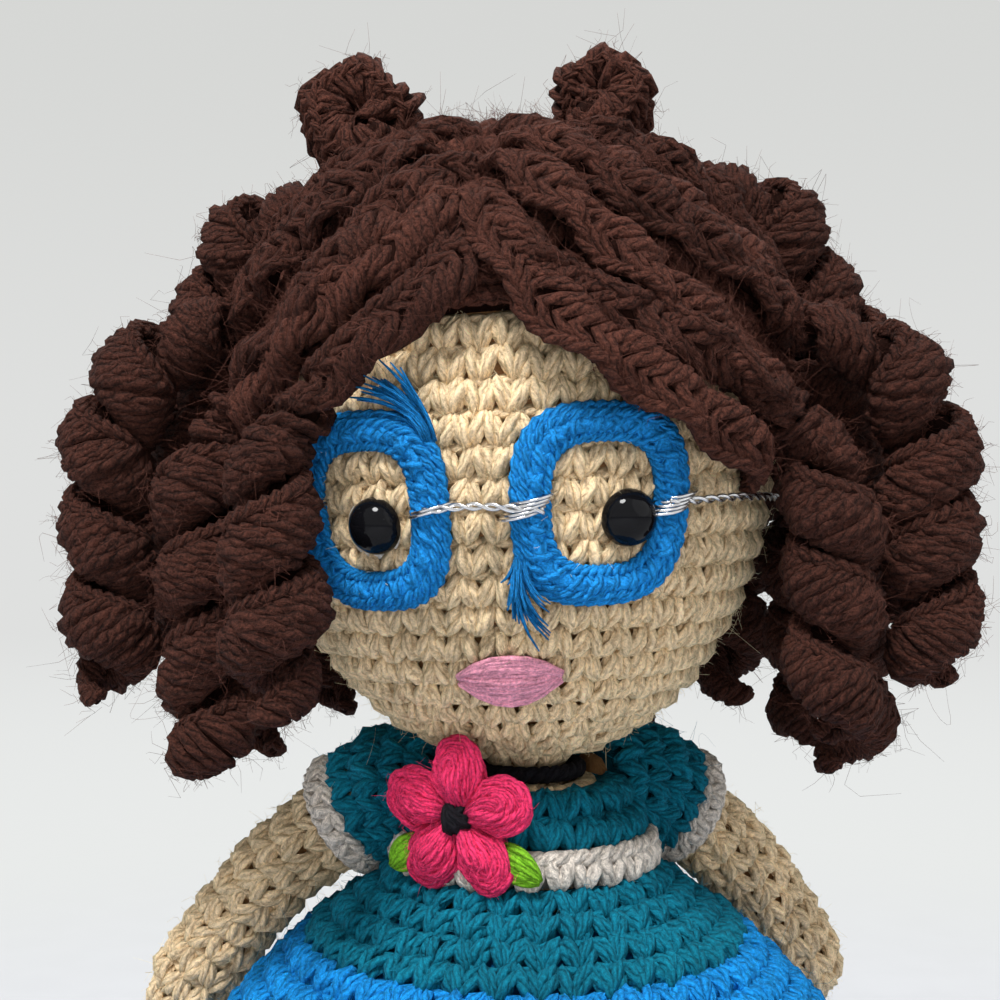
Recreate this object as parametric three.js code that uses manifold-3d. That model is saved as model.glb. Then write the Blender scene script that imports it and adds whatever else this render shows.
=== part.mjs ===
// A crocheted doll with spiral-curl hair, yarn spectacles on wire, and a bell-skirted dress.
// Millimetres, +Z up. The doll faces -Y, its left side is +X, and it stands on the hem of its skirt.
// Every piece that is sewn, threaded or tucked into another keeps a small gap to it.
import * as THREE from "three";
import { mergeVertices } from "three/addons/utils/BufferGeometryUtils.js";
import Module from "manifold-3d";

const wasm = await Module();
wasm.setup();

// Shared clearances and overruns
const GAP = 0.35; // between pieces that touch
const OVERRUN = 2; // how far a cutting shape runs past what it cuts
const LOOSE = 0.9; // between one hanging curl and the next

// Dress and torso heights, from the floor up
const SKIRT_LENGTH = 82.5;
const WAISTBAND_HEIGHT = 5;
const BODICE_HEIGHT = 9;
const TORSO_DROP = 28; // how far the torso reaches below the waist, inside the skirt
const TORSO_WALL = 3;
const WAIST_RADIUS = 17;
const HIP_RADIUS = 18;
const CHEST_RADIUS = 15;
const BODICE_WALL = 2;
const WAISTBAND_WALL = 3.2;

// Skirt
const HEM_RADIUS = 72;
const SKIRT_WALL = 3;
const FOLD_COUNT = 12;
const FOLD_DEPTH = 2.2;

// Neck
const NECK_RISE = 9.5; // from the top of the torso to the point that the head turns about
const NECK_BALL_RADIUS = 8;
const NECK_STEM_RADIUS = 5.2;
const NECK_STEM_DEPTH = 4; // how far the stem goes down into the torso
const DOWEL_RADIUS = 2.5;
const DOWEL_LENGTH = 46;
const DOWEL_RISE = 15; // how far the dowel reaches above the turning point
const NOD_DEGREES = 8;
const COLLAR_YARN_RADIUS = 1.4;
const COLLAR_RADIUS = 8.6;

// Head, an upright egg leaning a little to its right and turned the same way
const HEAD_RADIUS = 40;
const HEAD_HALF_HEIGHT = 49;
const HEAD_WALL = 3;
const HEAD_SEAT = 5; // how far the turning point is above the lowest point of the head
const HEAD_LEAN_DEGREES = -2;
const HEAD_TURN_DEGREES = -4.5;

// Face
const EYE_RADIUS = 4.2;
const EYE_BULGE = 3.6;
const EYE_SPACING = 34.8;
const EYE_DROP = 10.5; // below the middle of the head
const SHANK_RADIUS = 1.6;
const SHANK_LENGTH = 10;
const WASHER_RADIUS = 5;
const WASHER_THICKNESS = 1.2;
const WASHER_SEAT = 1.8; // from the inside of the shell to the washer
const FELT_THICKNESS = 0.7;
const FELT_RADIUS = 4.5;
const FELT_SLIP = 1.1; // how far the felt disc has slid out from under the eye
const MOUTH_HALF_WIDTH = 7.2;
const MOUTH_HALF_HEIGHT = 3.8;
const MOUTH_THICKNESS = 1.4;
const MOUTH_DROP = 33;

// Spectacles
const RING_HALF_WIDTH = 12.2;
const RING_HALF_HEIGHT = 13.2;
const RING_BAND = 4.3;
const RING_THICKNESS = 3.6;
const RING_SPACING = 34;
const RING_DROP = 8.4;
const RING_SLIP = -2.5; // the pair has slipped a little towards the doll's right
const WIRE_RADIUS = 0.85;
const TEMPLE_REACH_DEGREES = 88;
const TAIL_LENGTH = 11;
const TAIL_RADIUS = 1.9;

// Hair
const CAP_THICKNESS = 4.2;
const CAP_TILT_DEGREES = 35;
const CAP_DROP = 6;
const CURL_RADIUS = 8;
const CURL_YARN_RADIUS = 3.4;
const INNER_CURL_PITCH = 15.2;
const OUTER_CURL_PITCH = 14.8;
const ROOT_YARN_RADIUS = 2.9;
const ROOT_PRESS = 1.6; // how far the end of a root is drawn down into the cap
const ROOT_PRESS_SPAN_SHARE = 0.08;
const RIGHT_FACE_EDGE_DEGREES = 38; // from the face's middle to the first curl
const LEFT_FACE_EDGE_DEGREES = 66;
const LANE_COUNT = 12; // inner curls round the back from one face edge to the other
const CROWN_CURL_RADII = { right: 10.4, left: 8.2 };
const CROWN_CURL_PITCH = 8.4;
const CROWN_CURL_PLACES = { right: -17, left: 12 };

// Arms and sleeves
const SHOULDER_DROP = 2; // below the top of the torso
const ARM_RADIUS = 6.2;
const HAND_RADIUS = 7.1;
const HAND_SHORT_OF_HEM = 12.5; // how much nearer to the doll's middle the hand is than the hem
const ARM_SPAN = HEM_RADIUS - HAND_SHORT_OF_HEM; // from the doll's middle to the middle of the hand
const ARM_DROP = 37; // from shoulder to hand
const ARM_BACK_DEGREES = { right: 16, left: 32 }; // how far towards the doll's back each arm hangs
const SLEEVE_RADIUS = 10.6;
const SLEEVE_WALL = 2;
const SLEEVE_SPAN = 29; // from the doll's middle to the end of the sleeve
const CUFF_RADIUS = 9.8;
const CUFF_WIDTH = 3.4;

// Legs and shoes
const LEG_RADIUS = 8;
const ANKLE_RADIUS = 6;
const LEG_SPACING = 19.5;
const HIP_DROP = 34; // from the waist to the point that the leg swings about
const SHOE_LENGTH = 23;
const SHOE_WIDTH = 15;
const SHOE_HEIGHT = 11;
const SHOE_TOE = 3; // how far the shoe sits forward of the leg
const FOOT_LIFT = 2.4;
const FOOT_DEPTH = 5.5; // how far the leg goes down into the shoe

// Flower
const FLOWER_RADIUS = 12;
const FLOWER_THICKNESS = 6;
const PETAL_COUNT = 5;
const FLOWER_TURN_DEGREES = -28; // round the bodice from its front
const FLOWER_RISE = 11.5; // above the waist
const FLOWER_PRESS = 1.4; // how far the rounded backs of the petals settle round the waistband
const BUTTON_RADIUS = 3;
const LEAF_LENGTH = 9;
const LEAF_WIDTH = 5;
const LEAF_THICKNESS = 2;
const LEAF_SPREAD_DEGREES = 56; // either side of straight down

// Places worked out from the sizes above
const WAIST_Z = SKIRT_LENGTH + GAP;
const BODICE_Z = WAIST_Z + WAISTBAND_HEIGHT + GAP;
const TORSO_TOP_Z = BODICE_Z + BODICE_HEIGHT;
const TORSO_BASE_Z = WAIST_Z - TORSO_DROP;
const PIVOT_Z = TORSO_TOP_Z + NECK_RISE;
const SHOULDER_Z = TORSO_TOP_Z - SHOULDER_DROP;
const HIP_Z = WAIST_Z - HIP_DROP;
const HEAD_RISE = HEAD_HALF_HEIGHT - HEAD_SEAT; // from the turning point to the middle of the head

const degrees = THREE.MathUtils.degToRad;
const smooth = (value) => THREE.MathUtils.smoothstep(value, 0, 1);
const mix = THREE.MathUtils.lerp;

// Colours of the yarns and the few hard pieces
const yarn = (color) => new THREE.MeshStandardMaterial({ color, roughness: 0.95, metalness: 0 });
const SKIN = yarn("#c3a27c");
const BROWN = yarn("#3a201a");
const TEAL = yarn("#0c6275");
const AZURE = yarn("#1480d0");
const CREAM = yarn("#d9cfc2");
const BLACK = yarn("#101012");
const PINK = yarn("#e0305f");
const ROSE = yarn("#d892a4");
const LEAF_GREEN = yarn("#6fae2a");
const STUFFING = yarn("#efeee8");
const GLOSS_BLACK = new THREE.MeshStandardMaterial({ color: "#050506", roughness: 0.06, metalness: 0 });
const WASHER_PLASTIC = new THREE.MeshStandardMaterial({ color: "#d8d8d4", roughness: 0.5, metalness: 0 });
const FELT = yarn("#e4e2dc");
const WIRE = new THREE.MeshStandardMaterial({ color: "#c9c9c6", roughness: 0.25, metalness: 1 });
const DOWEL_WOOD = new THREE.MeshStandardMaterial({ color: "#c79a62", roughness: 0.7, metalness: 0 });

// The same closed surface with every face turned to point outwards
function facingOut(geometry) {
  const place = geometry.getAttribute("position");
  const faces = [...geometry.index.array];
  const corner = (i) => new THREE.Vector3().fromBufferAttribute(place, faces[i]);
  let volume = 0;
  for (let i = 0; i < faces.length; i += 3) {
    volume += corner(i).dot(corner(i + 1).cross(corner(i + 2)));
  }
  return geometry.setIndex(volume < 0 ? faces.reverse() : faces);
}

// A closed solid through rings of points. The two ends close on pole points, or the last ring
// meets the first when loop is true. Faces are turned to point outwards.
function ringSolid(rings, { loop = false, poles = [] } = {}) {
  const sides = rings[0].length;
  const points = rings.flat();
  const faces = [];
  const bands = loop ? rings.length : rings.length - 1;
  for (let i = 0; i < bands; i++) {
    const next = (i + 1) % rings.length;
    for (let k = 0; k < sides; k++) {
      const turn = (k + 1) % sides;
      const [a, b] = [i * sides + k, i * sides + turn];
      const [c, d] = [next * sides + k, next * sides + turn];
      faces.push(a, b, d, a, d, c);
    }
  }
  if (!loop) {
    const middle = (ring) => ring.reduce((sum, p) => sum.add(p), new THREE.Vector3()).divideScalar(sides);
    const start = points.push(poles[0] ?? middle(rings[0])) - 1;
    const end = points.push(poles[1] ?? middle(rings.at(-1))) - 1;
    const last = (rings.length - 1) * sides;
    for (let k = 0; k < sides; k++) {
      const turn = (k + 1) % sides;
      faces.push(start, turn, k, end, last + k, last + turn);
    }
  }
  return facingOut(new THREE.BufferGeometry().setFromPoints(points).setIndex(faces));
}

// Rings of a round or oval section along a line of centres. The section's height stands along up,
// and runs gives the line's direction at each centre where that is known.
function sectionRings(centres, widths, sides, { heights = widths, up = null, closed = false, runs = null } = {}) {
  const last = centres.length - 1;
  let carried = null;
  return centres.map((centre, i) => {
    const before = closed ? centres[(i + last) % (last + 1)] : centres[Math.max(i - 1, 0)];
    const after = closed ? centres[(i + 1) % (last + 1)] : centres[Math.min(i + 1, last)];
    const along = runs ? runs[i] : after.clone().sub(before).normalize();
    const guide = up ? up(centre) : (carried ?? new THREE.Vector3(0, 1, 0.01));
    const side = new THREE.Vector3().crossVectors(guide, along).normalize();
    const stand = new THREE.Vector3().crossVectors(along, side);
    carried = stand;
    return Array.from({ length: sides }, (_, k) => {
      const turn = (2 * Math.PI * k) / sides;
      return centre
        .clone()
        .addScaledVector(side, widths[i] * Math.cos(turn))
        .addScaledVector(stand, heights[i] * Math.sin(turn));
    });
  });
}

// Only the corners and faces of a geometry
function bare(geometry) {
  const stripped = new THREE.BufferGeometry().setAttribute("position", geometry.getAttribute("position"));
  return stripped.setIndex(geometry.index);
}

// A solid turned about Z from an outline of [radius, height] points
function turned(outline, segments, closed = false) {
  const points = outline.map(([radius, height]) => new THREE.Vector2(radius, height));
  if (closed) points.push(points[0].clone());
  return facingOut(bare(new THREE.LatheGeometry(points, segments).rotateX(Math.PI / 2)));
}

function egg(radius, halfHeight, around, up) {
  return new THREE.SphereGeometry(1, around, up).rotateX(Math.PI / 2).scale(radius, radius, halfHeight);
}

// Manifold solids for joining and cutting
const WELD = 1e-4; // corners closer than this are one corner
function solid(geometry) {
  const merged = mergeVertices(bare(geometry), WELD);
  const triVerts = new Uint32Array(merged.index.array);
  const vertProperties = merged.getAttribute("position").array;
  return new wasm.Manifold(new wasm.Mesh({ numProp: 3, vertProperties, triVerts }));
}

function geometryOf(made) {
  const mesh = made.getMesh();
  const points = new Float32Array(mesh.numVert * 3);
  for (let i = 0; i < mesh.numVert; i++) {
    points.set(mesh.vertProperties.subarray(i * mesh.numProp, i * mesh.numProp + 3), i * 3);
  }
  const geometry = new THREE.BufferGeometry();
  return geometry.setAttribute("position", new THREE.BufferAttribute(points, 3)).setIndex([...mesh.triVerts]);
}

const cut = (geometry, ...tools) =>
  geometryOf(tools.reduce((left, tool) => left.subtract(solid(tool)), solid(geometry)));

const joined = (...geometries) =>
  geometryOf(geometries.map(solid).reduce((whole, next) => whole.add(next)));

function piece(name, material, geometry, group) {
  const mesh = new THREE.Mesh(geometry, material);
  mesh.name = name;
  group.add(mesh);
  return mesh;
}

// A smooth radius along a list of [height share, radius] knots
function knotRadius(knots, share) {
  const at = Math.max(1, knots.findIndex(([height]) => share <= height));
  const upper = share > knots.at(-1)[0] ? knots.length - 1 : at;
  const [[lowHeight, lowRadius], [highHeight, highRadius]] = [knots[upper - 1], knots[upper]];
  return mix(lowRadius, highRadius, THREE.MathUtils.clamp((share - lowHeight) / (highHeight - lowHeight), 0, 1));
}

const doll = new THREE.Group();
const head = new THREE.Group();
head.position.set(0, 0, PIVOT_Z);
head.rotation.set(0, degrees(HEAD_LEAN_DEGREES), degrees(HEAD_TURN_DEGREES));
doll.add(head);

// Torso, a stuffed bag that narrows to the shoulders
const TORSO_KNOT_SHARES = [
  [0, 0.42],
  [0.05, 0.7],
  [0.14, 0.92],
  [0.3, 1],
  [0.48, 1],
  [0.64, 1],
];
const TORSO_HEIGHT = TORSO_TOP_Z - TORSO_BASE_Z;
const waistShare = (WAIST_Z - TORSO_BASE_Z) / TORSO_HEIGHT;
const torsoKnots = [
  ...TORSO_KNOT_SHARES.filter(([height]) => height < waistShare).map(([height, radius]) => [height, radius * HIP_RADIUS]),
  [waistShare, WAIST_RADIUS],
  [mix(waistShare, 1, 0.45), mix(WAIST_RADIUS, CHEST_RADIUS, 0.6)],
  [mix(waistShare, 1, 0.78), CHEST_RADIUS * 0.92],
  [mix(waistShare, 1, 0.93), CHEST_RADIUS * 0.8],
  [1, CHEST_RADIUS * 0.58],
];
const torsoOutline = torsoKnots.map(([height, radius]) => [radius, mix(TORSO_BASE_Z, TORSO_TOP_Z, height)]);
const torsoRadius = (z) => knotRadius(torsoKnots, (z - TORSO_BASE_Z) / TORSO_HEIGHT);

// The outline moved in by a distance, for the inside of a wall or the stuffing
function insetTorso(inset) {
  return torsoOutline.map(([radius, z], i) => {
    const [beforeRadius, beforeZ] = torsoOutline[Math.max(i - 1, 0)];
    const [afterRadius, afterZ] = torsoOutline[Math.min(i + 1, torsoOutline.length - 1)];
    const run = new THREE.Vector2(afterRadius - beforeRadius, afterZ - beforeZ).normalize();
    const [inner, height] = [radius - inset * run.y, z + inset * run.x];
    return [inner, i === 0 ? TORSO_BASE_Z + inset : height];
  });
}

const hips = [-1, 1].map((side) => new THREE.Vector3((side * LEG_SPACING) / 2, 0, HIP_Z));
const hipSockets = hips.map((hip) => egg(LEG_RADIUS + 2 * GAP, LEG_RADIUS + 2 * GAP, 12, 8).translate(hip.x, hip.y, hip.z));
const TORSO_SEGMENTS = 16;
const neckOpening = NECK_STEM_RADIUS + GAP;

const torsoInside = insetTorso(TORSO_WALL).reverse();
const torsoShell = turned(
  [[0, TORSO_BASE_Z], ...torsoOutline, [neckOpening, TORSO_TOP_Z], [neckOpening, TORSO_TOP_Z - TORSO_WALL],
    ...torsoInside.slice(1), [0, TORSO_BASE_Z + TORSO_WALL]],
  TORSO_SEGMENTS,
);
piece("torso_shell", SKIN, cut(torsoShell, ...hipSockets), doll);

const stuffingOutline = insetTorso(TORSO_WALL + GAP);
const stuffingTop = TORSO_TOP_Z - TORSO_WALL - NECK_STEM_DEPTH;
const dowelTop = PIVOT_Z + DOWEL_RISE;
const dowelBase = dowelTop - DOWEL_LENGTH;
const dowelBore = DOWEL_RADIUS + GAP;
const stuffingBody = stuffingOutline.filter(([, z]) => z < stuffingTop - GAP);
piece(
  "torso_stuffing",
  STUFFING,
  turned(
    [[0, TORSO_BASE_Z + TORSO_WALL + GAP], ...stuffingBody,
      [torsoRadius(stuffingTop) - TORSO_WALL - 2 * GAP, stuffingTop], [dowelBore, stuffingTop],
      [dowelBore, dowelBase - GAP], [0, dowelBase - GAP]],
    TORSO_SEGMENTS,
  ),
  doll,
);

// Dress: bodice, waistband and bell skirt
const DRESS_SEGMENTS = 20;
const bodiceLevels = [0, 0.35, 0.62, 0.8].map((share) => BODICE_Z + share * BODICE_HEIGHT);
const bodiceInside = bodiceLevels.map((z) => [torsoRadius(z) + 2 * GAP, z]);
const bodiceOutside = bodiceLevels.map((z) => [torsoRadius(z) + 2 * GAP + BODICE_WALL, z]).reverse();
piece("bodice", TEAL, turned([...bodiceInside, ...bodiceOutside], DRESS_SEGMENTS, true), doll);

const waistbandTop = WAIST_Z + WAISTBAND_HEIGHT;
const waistbandOuter = WAIST_RADIUS + GAP + WAISTBAND_WALL;
piece(
  "waistband",
  CREAM,
  turned(
    [[WAIST_RADIUS + GAP, WAIST_Z], [WAIST_RADIUS + GAP, waistbandTop],
      [waistbandOuter - WAISTBAND_WALL / 4, waistbandTop], [waistbandOuter, (WAIST_Z + waistbandTop) / 2],
      [waistbandOuter - WAISTBAND_WALL / 4, WAIST_Z]],
    DRESS_SEGMENTS,
    true,
  ),
  doll,
);

// Skirt: how far the bell has opened, as shares of the way from waist to hem radius, by shares of its length
const BELL_SHARES = [
  [0, 0],
  [0.055, 0.125],
  [0.127, 0.288],
  [0.25, 0.493],
  [0.4, 0.665],
  [0.6, 0.825],
  [0.8, 0.935],
  [1, 1],
];
const FOLD_STEPS = 4;
const skirtTop = WAIST_RADIUS + 2 * GAP + SKIRT_WALL;
const skirtRadius = (share) => knotRadius(BELL_SHARES.map(([down, out]) => [down, mix(skirtTop, HEM_RADIUS, out)]), share);
function skirtRing(share, inset) {
  const sides = FOLD_COUNT * FOLD_STEPS;
  const z = SKIRT_LENGTH * (1 - share);
  return Array.from({ length: sides }, (_, k) => {
    const turn = (2 * Math.PI * k) / sides;
    const fold = FOLD_DEPTH * smooth((share - 0.12) / 0.6) * Math.cos(FOLD_COUNT * turn);
    const radius = skirtRadius(share) + fold - inset;
    return new THREE.Vector3(radius * Math.cos(turn), radius * Math.sin(turn), z);
  });
}
// The wall is measured square to the cloth, so it takes more of the radius where the bell is steep
const skirtInset = (share) => {
  const step = 0.02;
  const out = skirtRadius(Math.min(share + step, 1)) - skirtRadius(Math.max(share - step, 0));
  const down = SKIRT_LENGTH * (Math.min(share + step, 1) - Math.max(share - step, 0));
  return SKIRT_WALL * Math.hypot(out, down) / down;
};
// The bell is worked in two parts that meet at a seam: the yoke under the waistband, and the flare down to the hem
const SEAM_SHARE = 0.4;
const YOKE_SHARES = { outside: [0, 0.055, 0.127, 0.25], inside: [0.127] };
const FLARE_SHARES = { outside: [0.6, 0.8, 1], inside: [1, 0.6] };
const aboveSeam = SEAM_SHARE - GAP / SKIRT_LENGTH / 2;
const belowSeam = SEAM_SHARE + GAP / SKIRT_LENGTH / 2;
const outsideRing = (share) => skirtRing(share, 0);
const insideRing = (share) => skirtRing(share, skirtInset(share));
const yokeRings = [
  ...YOKE_SHARES.outside.map(outsideRing),
  outsideRing(aboveSeam),
  insideRing(aboveSeam),
  ...YOKE_SHARES.inside.map(insideRing),
  skirtRing(0, SKIRT_WALL),
];
const flareRings = [
  outsideRing(belowSeam),
  ...FLARE_SHARES.outside.map(outsideRing),
  ...FLARE_SHARES.inside.map(insideRing),
  insideRing(belowSeam),
];
piece("skirt_yoke", TEAL, ringSolid(yokeRings, { loop: true }), doll);
piece("skirt_flare", AZURE, ringSolid(flareRings, { loop: true }), doll);

// Outermost radius of the dress at a height, with its running clearance
function dressRadius(z) {
  if (z < SKIRT_LENGTH) return skirtRadius(1 - z / SKIRT_LENGTH) + 2 * GAP;
  if (z < BODICE_Z) return waistbandOuter + 2 * GAP;
  return torsoRadius(z) + BODICE_WALL + 4 * GAP;
}

// Neck and collar
const neckBallOutline = Array.from({ length: 9 }, (_, i) => {
  const turn = mix(Math.asin(NECK_STEM_RADIUS / NECK_BALL_RADIUS) - Math.PI, -Math.asin(dowelBore / NECK_BALL_RADIUS), i / 8);
  return [Math.abs(NECK_BALL_RADIUS * Math.sin(turn)), PIVOT_Z + NECK_BALL_RADIUS * Math.cos(turn)];
});
const stemBase = TORSO_TOP_Z - NECK_STEM_DEPTH;
piece(
  "neck_tube",
  SKIN,
  turned([[NECK_STEM_RADIUS, stemBase], ...neckBallOutline, [dowelBore, stemBase]], 12, true),
  doll,
);
piece(
  "neck_dowel",
  DOWEL_WOOD,
  turned([[0, dowelBase], [DOWEL_RADIUS, dowelBase], [DOWEL_RADIUS, dowelTop], [0, dowelTop]], 12),
  doll,
);
const collarZ = TORSO_TOP_Z + GAP + COLLAR_YARN_RADIUS;
piece("collar", BLACK, new THREE.TorusGeometry(COLLAR_RADIUS, COLLAR_YARN_RADIUS, 6, 18).translate(0, 0, collarZ), doll);

// Head: shell, stuffing and what is fixed through the shell. Heights here are from the turning point.
const HEAD_AROUND = 22;
const HEAD_UP = 14;
const atHead = (geometry) => geometry.translate(0, 0, HEAD_RISE);

// A point over the head at an azimuth from the face's middle, a height from the head's middle, and a lift
function overHead(azimuth, z, lift) {
  const radius = HEAD_RADIUS * Math.sqrt(Math.max(0, 1 - (z / HEAD_HALF_HEIGHT) ** 2));
  const outward = headNormal(azimuth, z);
  const point = new THREE.Vector3(radius * Math.sin(azimuth), -radius * Math.cos(azimuth), z + HEAD_RISE);
  return point.addScaledVector(outward, lift);
}

function headNormal(azimuth, z) {
  const radius = HEAD_RADIUS * Math.sqrt(Math.max(0, 1 - (z / HEAD_HALF_HEIGHT) ** 2));
  const [across, upward] = [radius / HEAD_RADIUS ** 2, z / HEAD_HALF_HEIGHT ** 2];
  return new THREE.Vector3(across * Math.sin(azimuth), -across * Math.cos(azimuth), upward).normalize();
}

const radiusAt = (z) => HEAD_RADIUS * Math.sqrt(1 - (z / HEAD_HALF_HEIGHT) ** 2);
const eyeAzimuth = Math.asin(EYE_SPACING / 2 / radiusAt(EYE_DROP));

// Puts a shape made along +Y at a place on the head, standing square to it
function standOnHead(geometry, azimuth, z, lift) {
  const turn = new THREE.Quaternion().setFromUnitVectors(new THREE.Vector3(0, 1, 0), headNormal(azimuth, z));
  const place = overHead(azimuth, z, lift);
  return geometry.applyQuaternion(turn).translate(place.x, place.y, place.z);
}

// A solid turned about Y from an outline of [radius, height] points
const lathe = (outline, segments) =>
  facingOut(bare(new THREE.LatheGeometry(outline.map(([x, y]) => new THREE.Vector2(x, y)), segments)));

const EYE_SEGMENTS = 12;
const eyeLift = FELT_THICKNESS + 2 * GAP;
const eyeOutline = [
  [0, -SHANK_LENGTH],
  [SHANK_RADIUS, -SHANK_LENGTH],
  [SHANK_RADIUS, 0],
  ...[0, 0.2, 0.4, 0.6, 0.8].map((share) => {
    const turn = (share * Math.PI) / 2;
    return [EYE_RADIUS * Math.cos(turn), EYE_BULGE * Math.sin(turn)];
  }),
  [0, EYE_BULGE],
];
const shankHole = () => new THREE.CylinderGeometry(SHANK_RADIUS + GAP, SHANK_RADIUS + GAP, 2 * SHANK_LENGTH, 12);
const washerDepth = HEAD_WALL + WASHER_SEAT;
const washerPocket = () =>
  new THREE.CylinderGeometry(WASHER_RADIUS + GAP, WASHER_RADIUS + GAP, 2 * SHANK_LENGTH, 14);
const washerOutline = [
  [SHANK_RADIUS + GAP / 2, -WASHER_THICKNESS],
  [WASHER_RADIUS, -WASHER_THICKNESS],
  [WASHER_RADIUS, 0],
  [SHANK_RADIUS + GAP / 2, 0],
  [SHANK_RADIUS + GAP / 2, -WASHER_THICKNESS],
];
const feltOutline = [
  [SHANK_RADIUS + FELT_SLIP + GAP, 0],
  [FELT_RADIUS, 0],
  [FELT_RADIUS, FELT_THICKNESS],
  [SHANK_RADIUS + FELT_SLIP + GAP, FELT_THICKNESS],
  [SHANK_RADIUS + FELT_SLIP + GAP, 0],
];
const sides = [
  ["right", -1],
  ["left", 1],
];
for (const [name, side] of sides) {
  const azimuth = side * eyeAzimuth;
  piece(`eye_${name}`, GLOSS_BLACK, standOnHead(lathe(eyeOutline, EYE_SEGMENTS), azimuth, -EYE_DROP, eyeLift), head);
  piece(
    `eye_washer_${name}`,
    WASHER_PLASTIC,
    standOnHead(lathe(washerOutline, EYE_SEGMENTS), azimuth, -EYE_DROP, -washerDepth),
    head,
  );
}
const feltAzimuth = -eyeAzimuth - FELT_SLIP / 2 / HEAD_RADIUS;
const feltLift = GAP + FELT_RADIUS ** 2 / (2 * HEAD_RADIUS) / 4;
piece(
  "eye_felt_right",
  FELT,
  standOnHead(lathe(feltOutline, EYE_SEGMENTS), feltAzimuth, -EYE_DROP - FELT_SLIP / 2, feltLift),
  head,
);

const SOCKET_STEPS = { around: 16, up: 12 };
const INSIDE_STEPS = { around: 14, up: 9 };
const socketRadius = NECK_BALL_RADIUS + 2 * GAP;
const neckSocket = egg(socketRadius, socketRadius, SOCKET_STEPS.around, SOCKET_STEPS.up);
const hollow = (inset) => egg(HEAD_RADIUS - inset, HEAD_HALF_HEIGHT - inset, INSIDE_STEPS.around, INSIDE_STEPS.up);
const eyeHoles = sides.map(([, side]) => standOnHead(shankHole(), side * eyeAzimuth, -EYE_DROP, 0));
const headOuter = atHead(egg(HEAD_RADIUS, HEAD_HALF_HEIGHT, HEAD_AROUND, HEAD_UP));
const headInner = atHead(hollow(HEAD_WALL));
piece("head_shell", SKIN, cut(headOuter, headInner, neckSocket, ...eyeHoles), head);

const stuffingInset = HEAD_WALL + 2 * GAP;
const dowelSway = DOWEL_RISE * Math.tan(degrees(NOD_DEGREES - HEAD_LEAN_DEGREES));
const dowelPocket = new THREE.CylinderGeometry(
  DOWEL_RADIUS + dowelSway + GAP,
  DOWEL_RADIUS + dowelSway + GAP,
  DOWEL_RISE + 2 * GAP,
  14,
)
  .rotateX(Math.PI / 2)
  .translate(0, 0, (DOWEL_RISE + 2 * GAP) / 2);
const washerPockets = sides.map(([, side]) =>
  standOnHead(washerPocket(), side * eyeAzimuth, -EYE_DROP, GAP - washerDepth + WASHER_SEAT),
);
const headFill = atHead(hollow(stuffingInset));
piece("head_stuffing", STUFFING, cut(headFill, neckSocket, dowelPocket, ...washerPockets), head);

// Mouth: a small padded lens of satin stitch laid on the head
const MOUTH_STEPS = 14;
const mouthRing = (share, lift) =>
  Array.from({ length: MOUTH_STEPS }, (_, k) => {
    const turn = (2 * Math.PI * k) / MOUTH_STEPS;
    const z = -MOUTH_DROP + share * MOUTH_HALF_HEIGHT * Math.sin(turn);
    const across = share * MOUTH_HALF_WIDTH * Math.cos(turn);
    return overHead(across / radiusAt(-MOUTH_DROP), z, lift);
  });
piece(
  "mouth_stitches",
  ROSE,
  ringSolid([mouthRing(0.5, GAP), mouthRing(1, GAP), mouthRing(0.9, MOUTH_THICKNESS * 0.8), mouthRing(0.5, MOUTH_THICKNESS)], {
    poles: [overHead(0, -MOUTH_DROP, GAP), overHead(0, -MOUTH_DROP, MOUTH_THICKNESS)],
  }),
  head,
);

// Wig cap: a bowl over the skull whose edge runs from high on the forehead to low on the nape
const capTool = new THREE.BoxGeometry(4 * HEAD_RADIUS, 4 * HEAD_RADIUS, 2 * HEAD_HALF_HEIGHT)
  .translate(0, 0, -HEAD_HALF_HEIGHT)
  .rotateX(-degrees(CAP_TILT_DEGREES))
  .translate(0, 0, HEAD_RISE - CAP_DROP);
const capOuter = atHead(egg(HEAD_RADIUS + CAP_THICKNESS, HEAD_HALF_HEIGHT + CAP_THICKNESS, HEAD_AROUND, HEAD_UP));
const capInner = atHead(egg(HEAD_RADIUS + GAP, HEAD_HALF_HEIGHT + GAP, HEAD_AROUND, HEAD_UP));
piece("wig_cap", BROWN, cut(capOuter, capInner, capTool), head);

// Hair. A strand runs down from the crown: w is 0 at the pole, 1 at the head's widest level, and past
// that the strand hangs straight down. Each strand hangs in a lane of its own, lane 0 at the right
// edge of the face and the last at its left edge. Outer strands lie in the grooves between.
const QUARTER = (Math.PI / 2) * Math.sqrt((HEAD_RADIUS ** 2 + HEAD_HALF_HEIGHT ** 2) / 2);
const LANE = (2 * Math.PI - degrees(RIGHT_FACE_EDGE_DEGREES + LEFT_FACE_EDGE_DEGREES)) / (LANE_COUNT - 1);
const laneAzimuth = (lane) => -degrees(RIGHT_FACE_EDGE_DEGREES) - lane * LANE;
const HELIX_RADIUS = CURL_RADIUS - CURL_YARN_RADIUS;
const CURL_SIDES = 5;
const CURL_STEPS = 8;
const ROOT_STEP = 8; // along a root that lies flat
const hairRing = Math.max(
  HEAD_RADIUS,
  (CURL_RADIUS + LOOSE / 2) / Math.sin(LANE / 2) - CAP_THICKNESS - GAP - CURL_RADIUS,
);

// The lane's half width at a level, at a lift above the skull
const laneRoom = (w, lift) => (hairRing + lift) * Math.sin(Math.min(w, 1) * Math.PI / 2) * Math.sin(LANE / 2);

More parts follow.
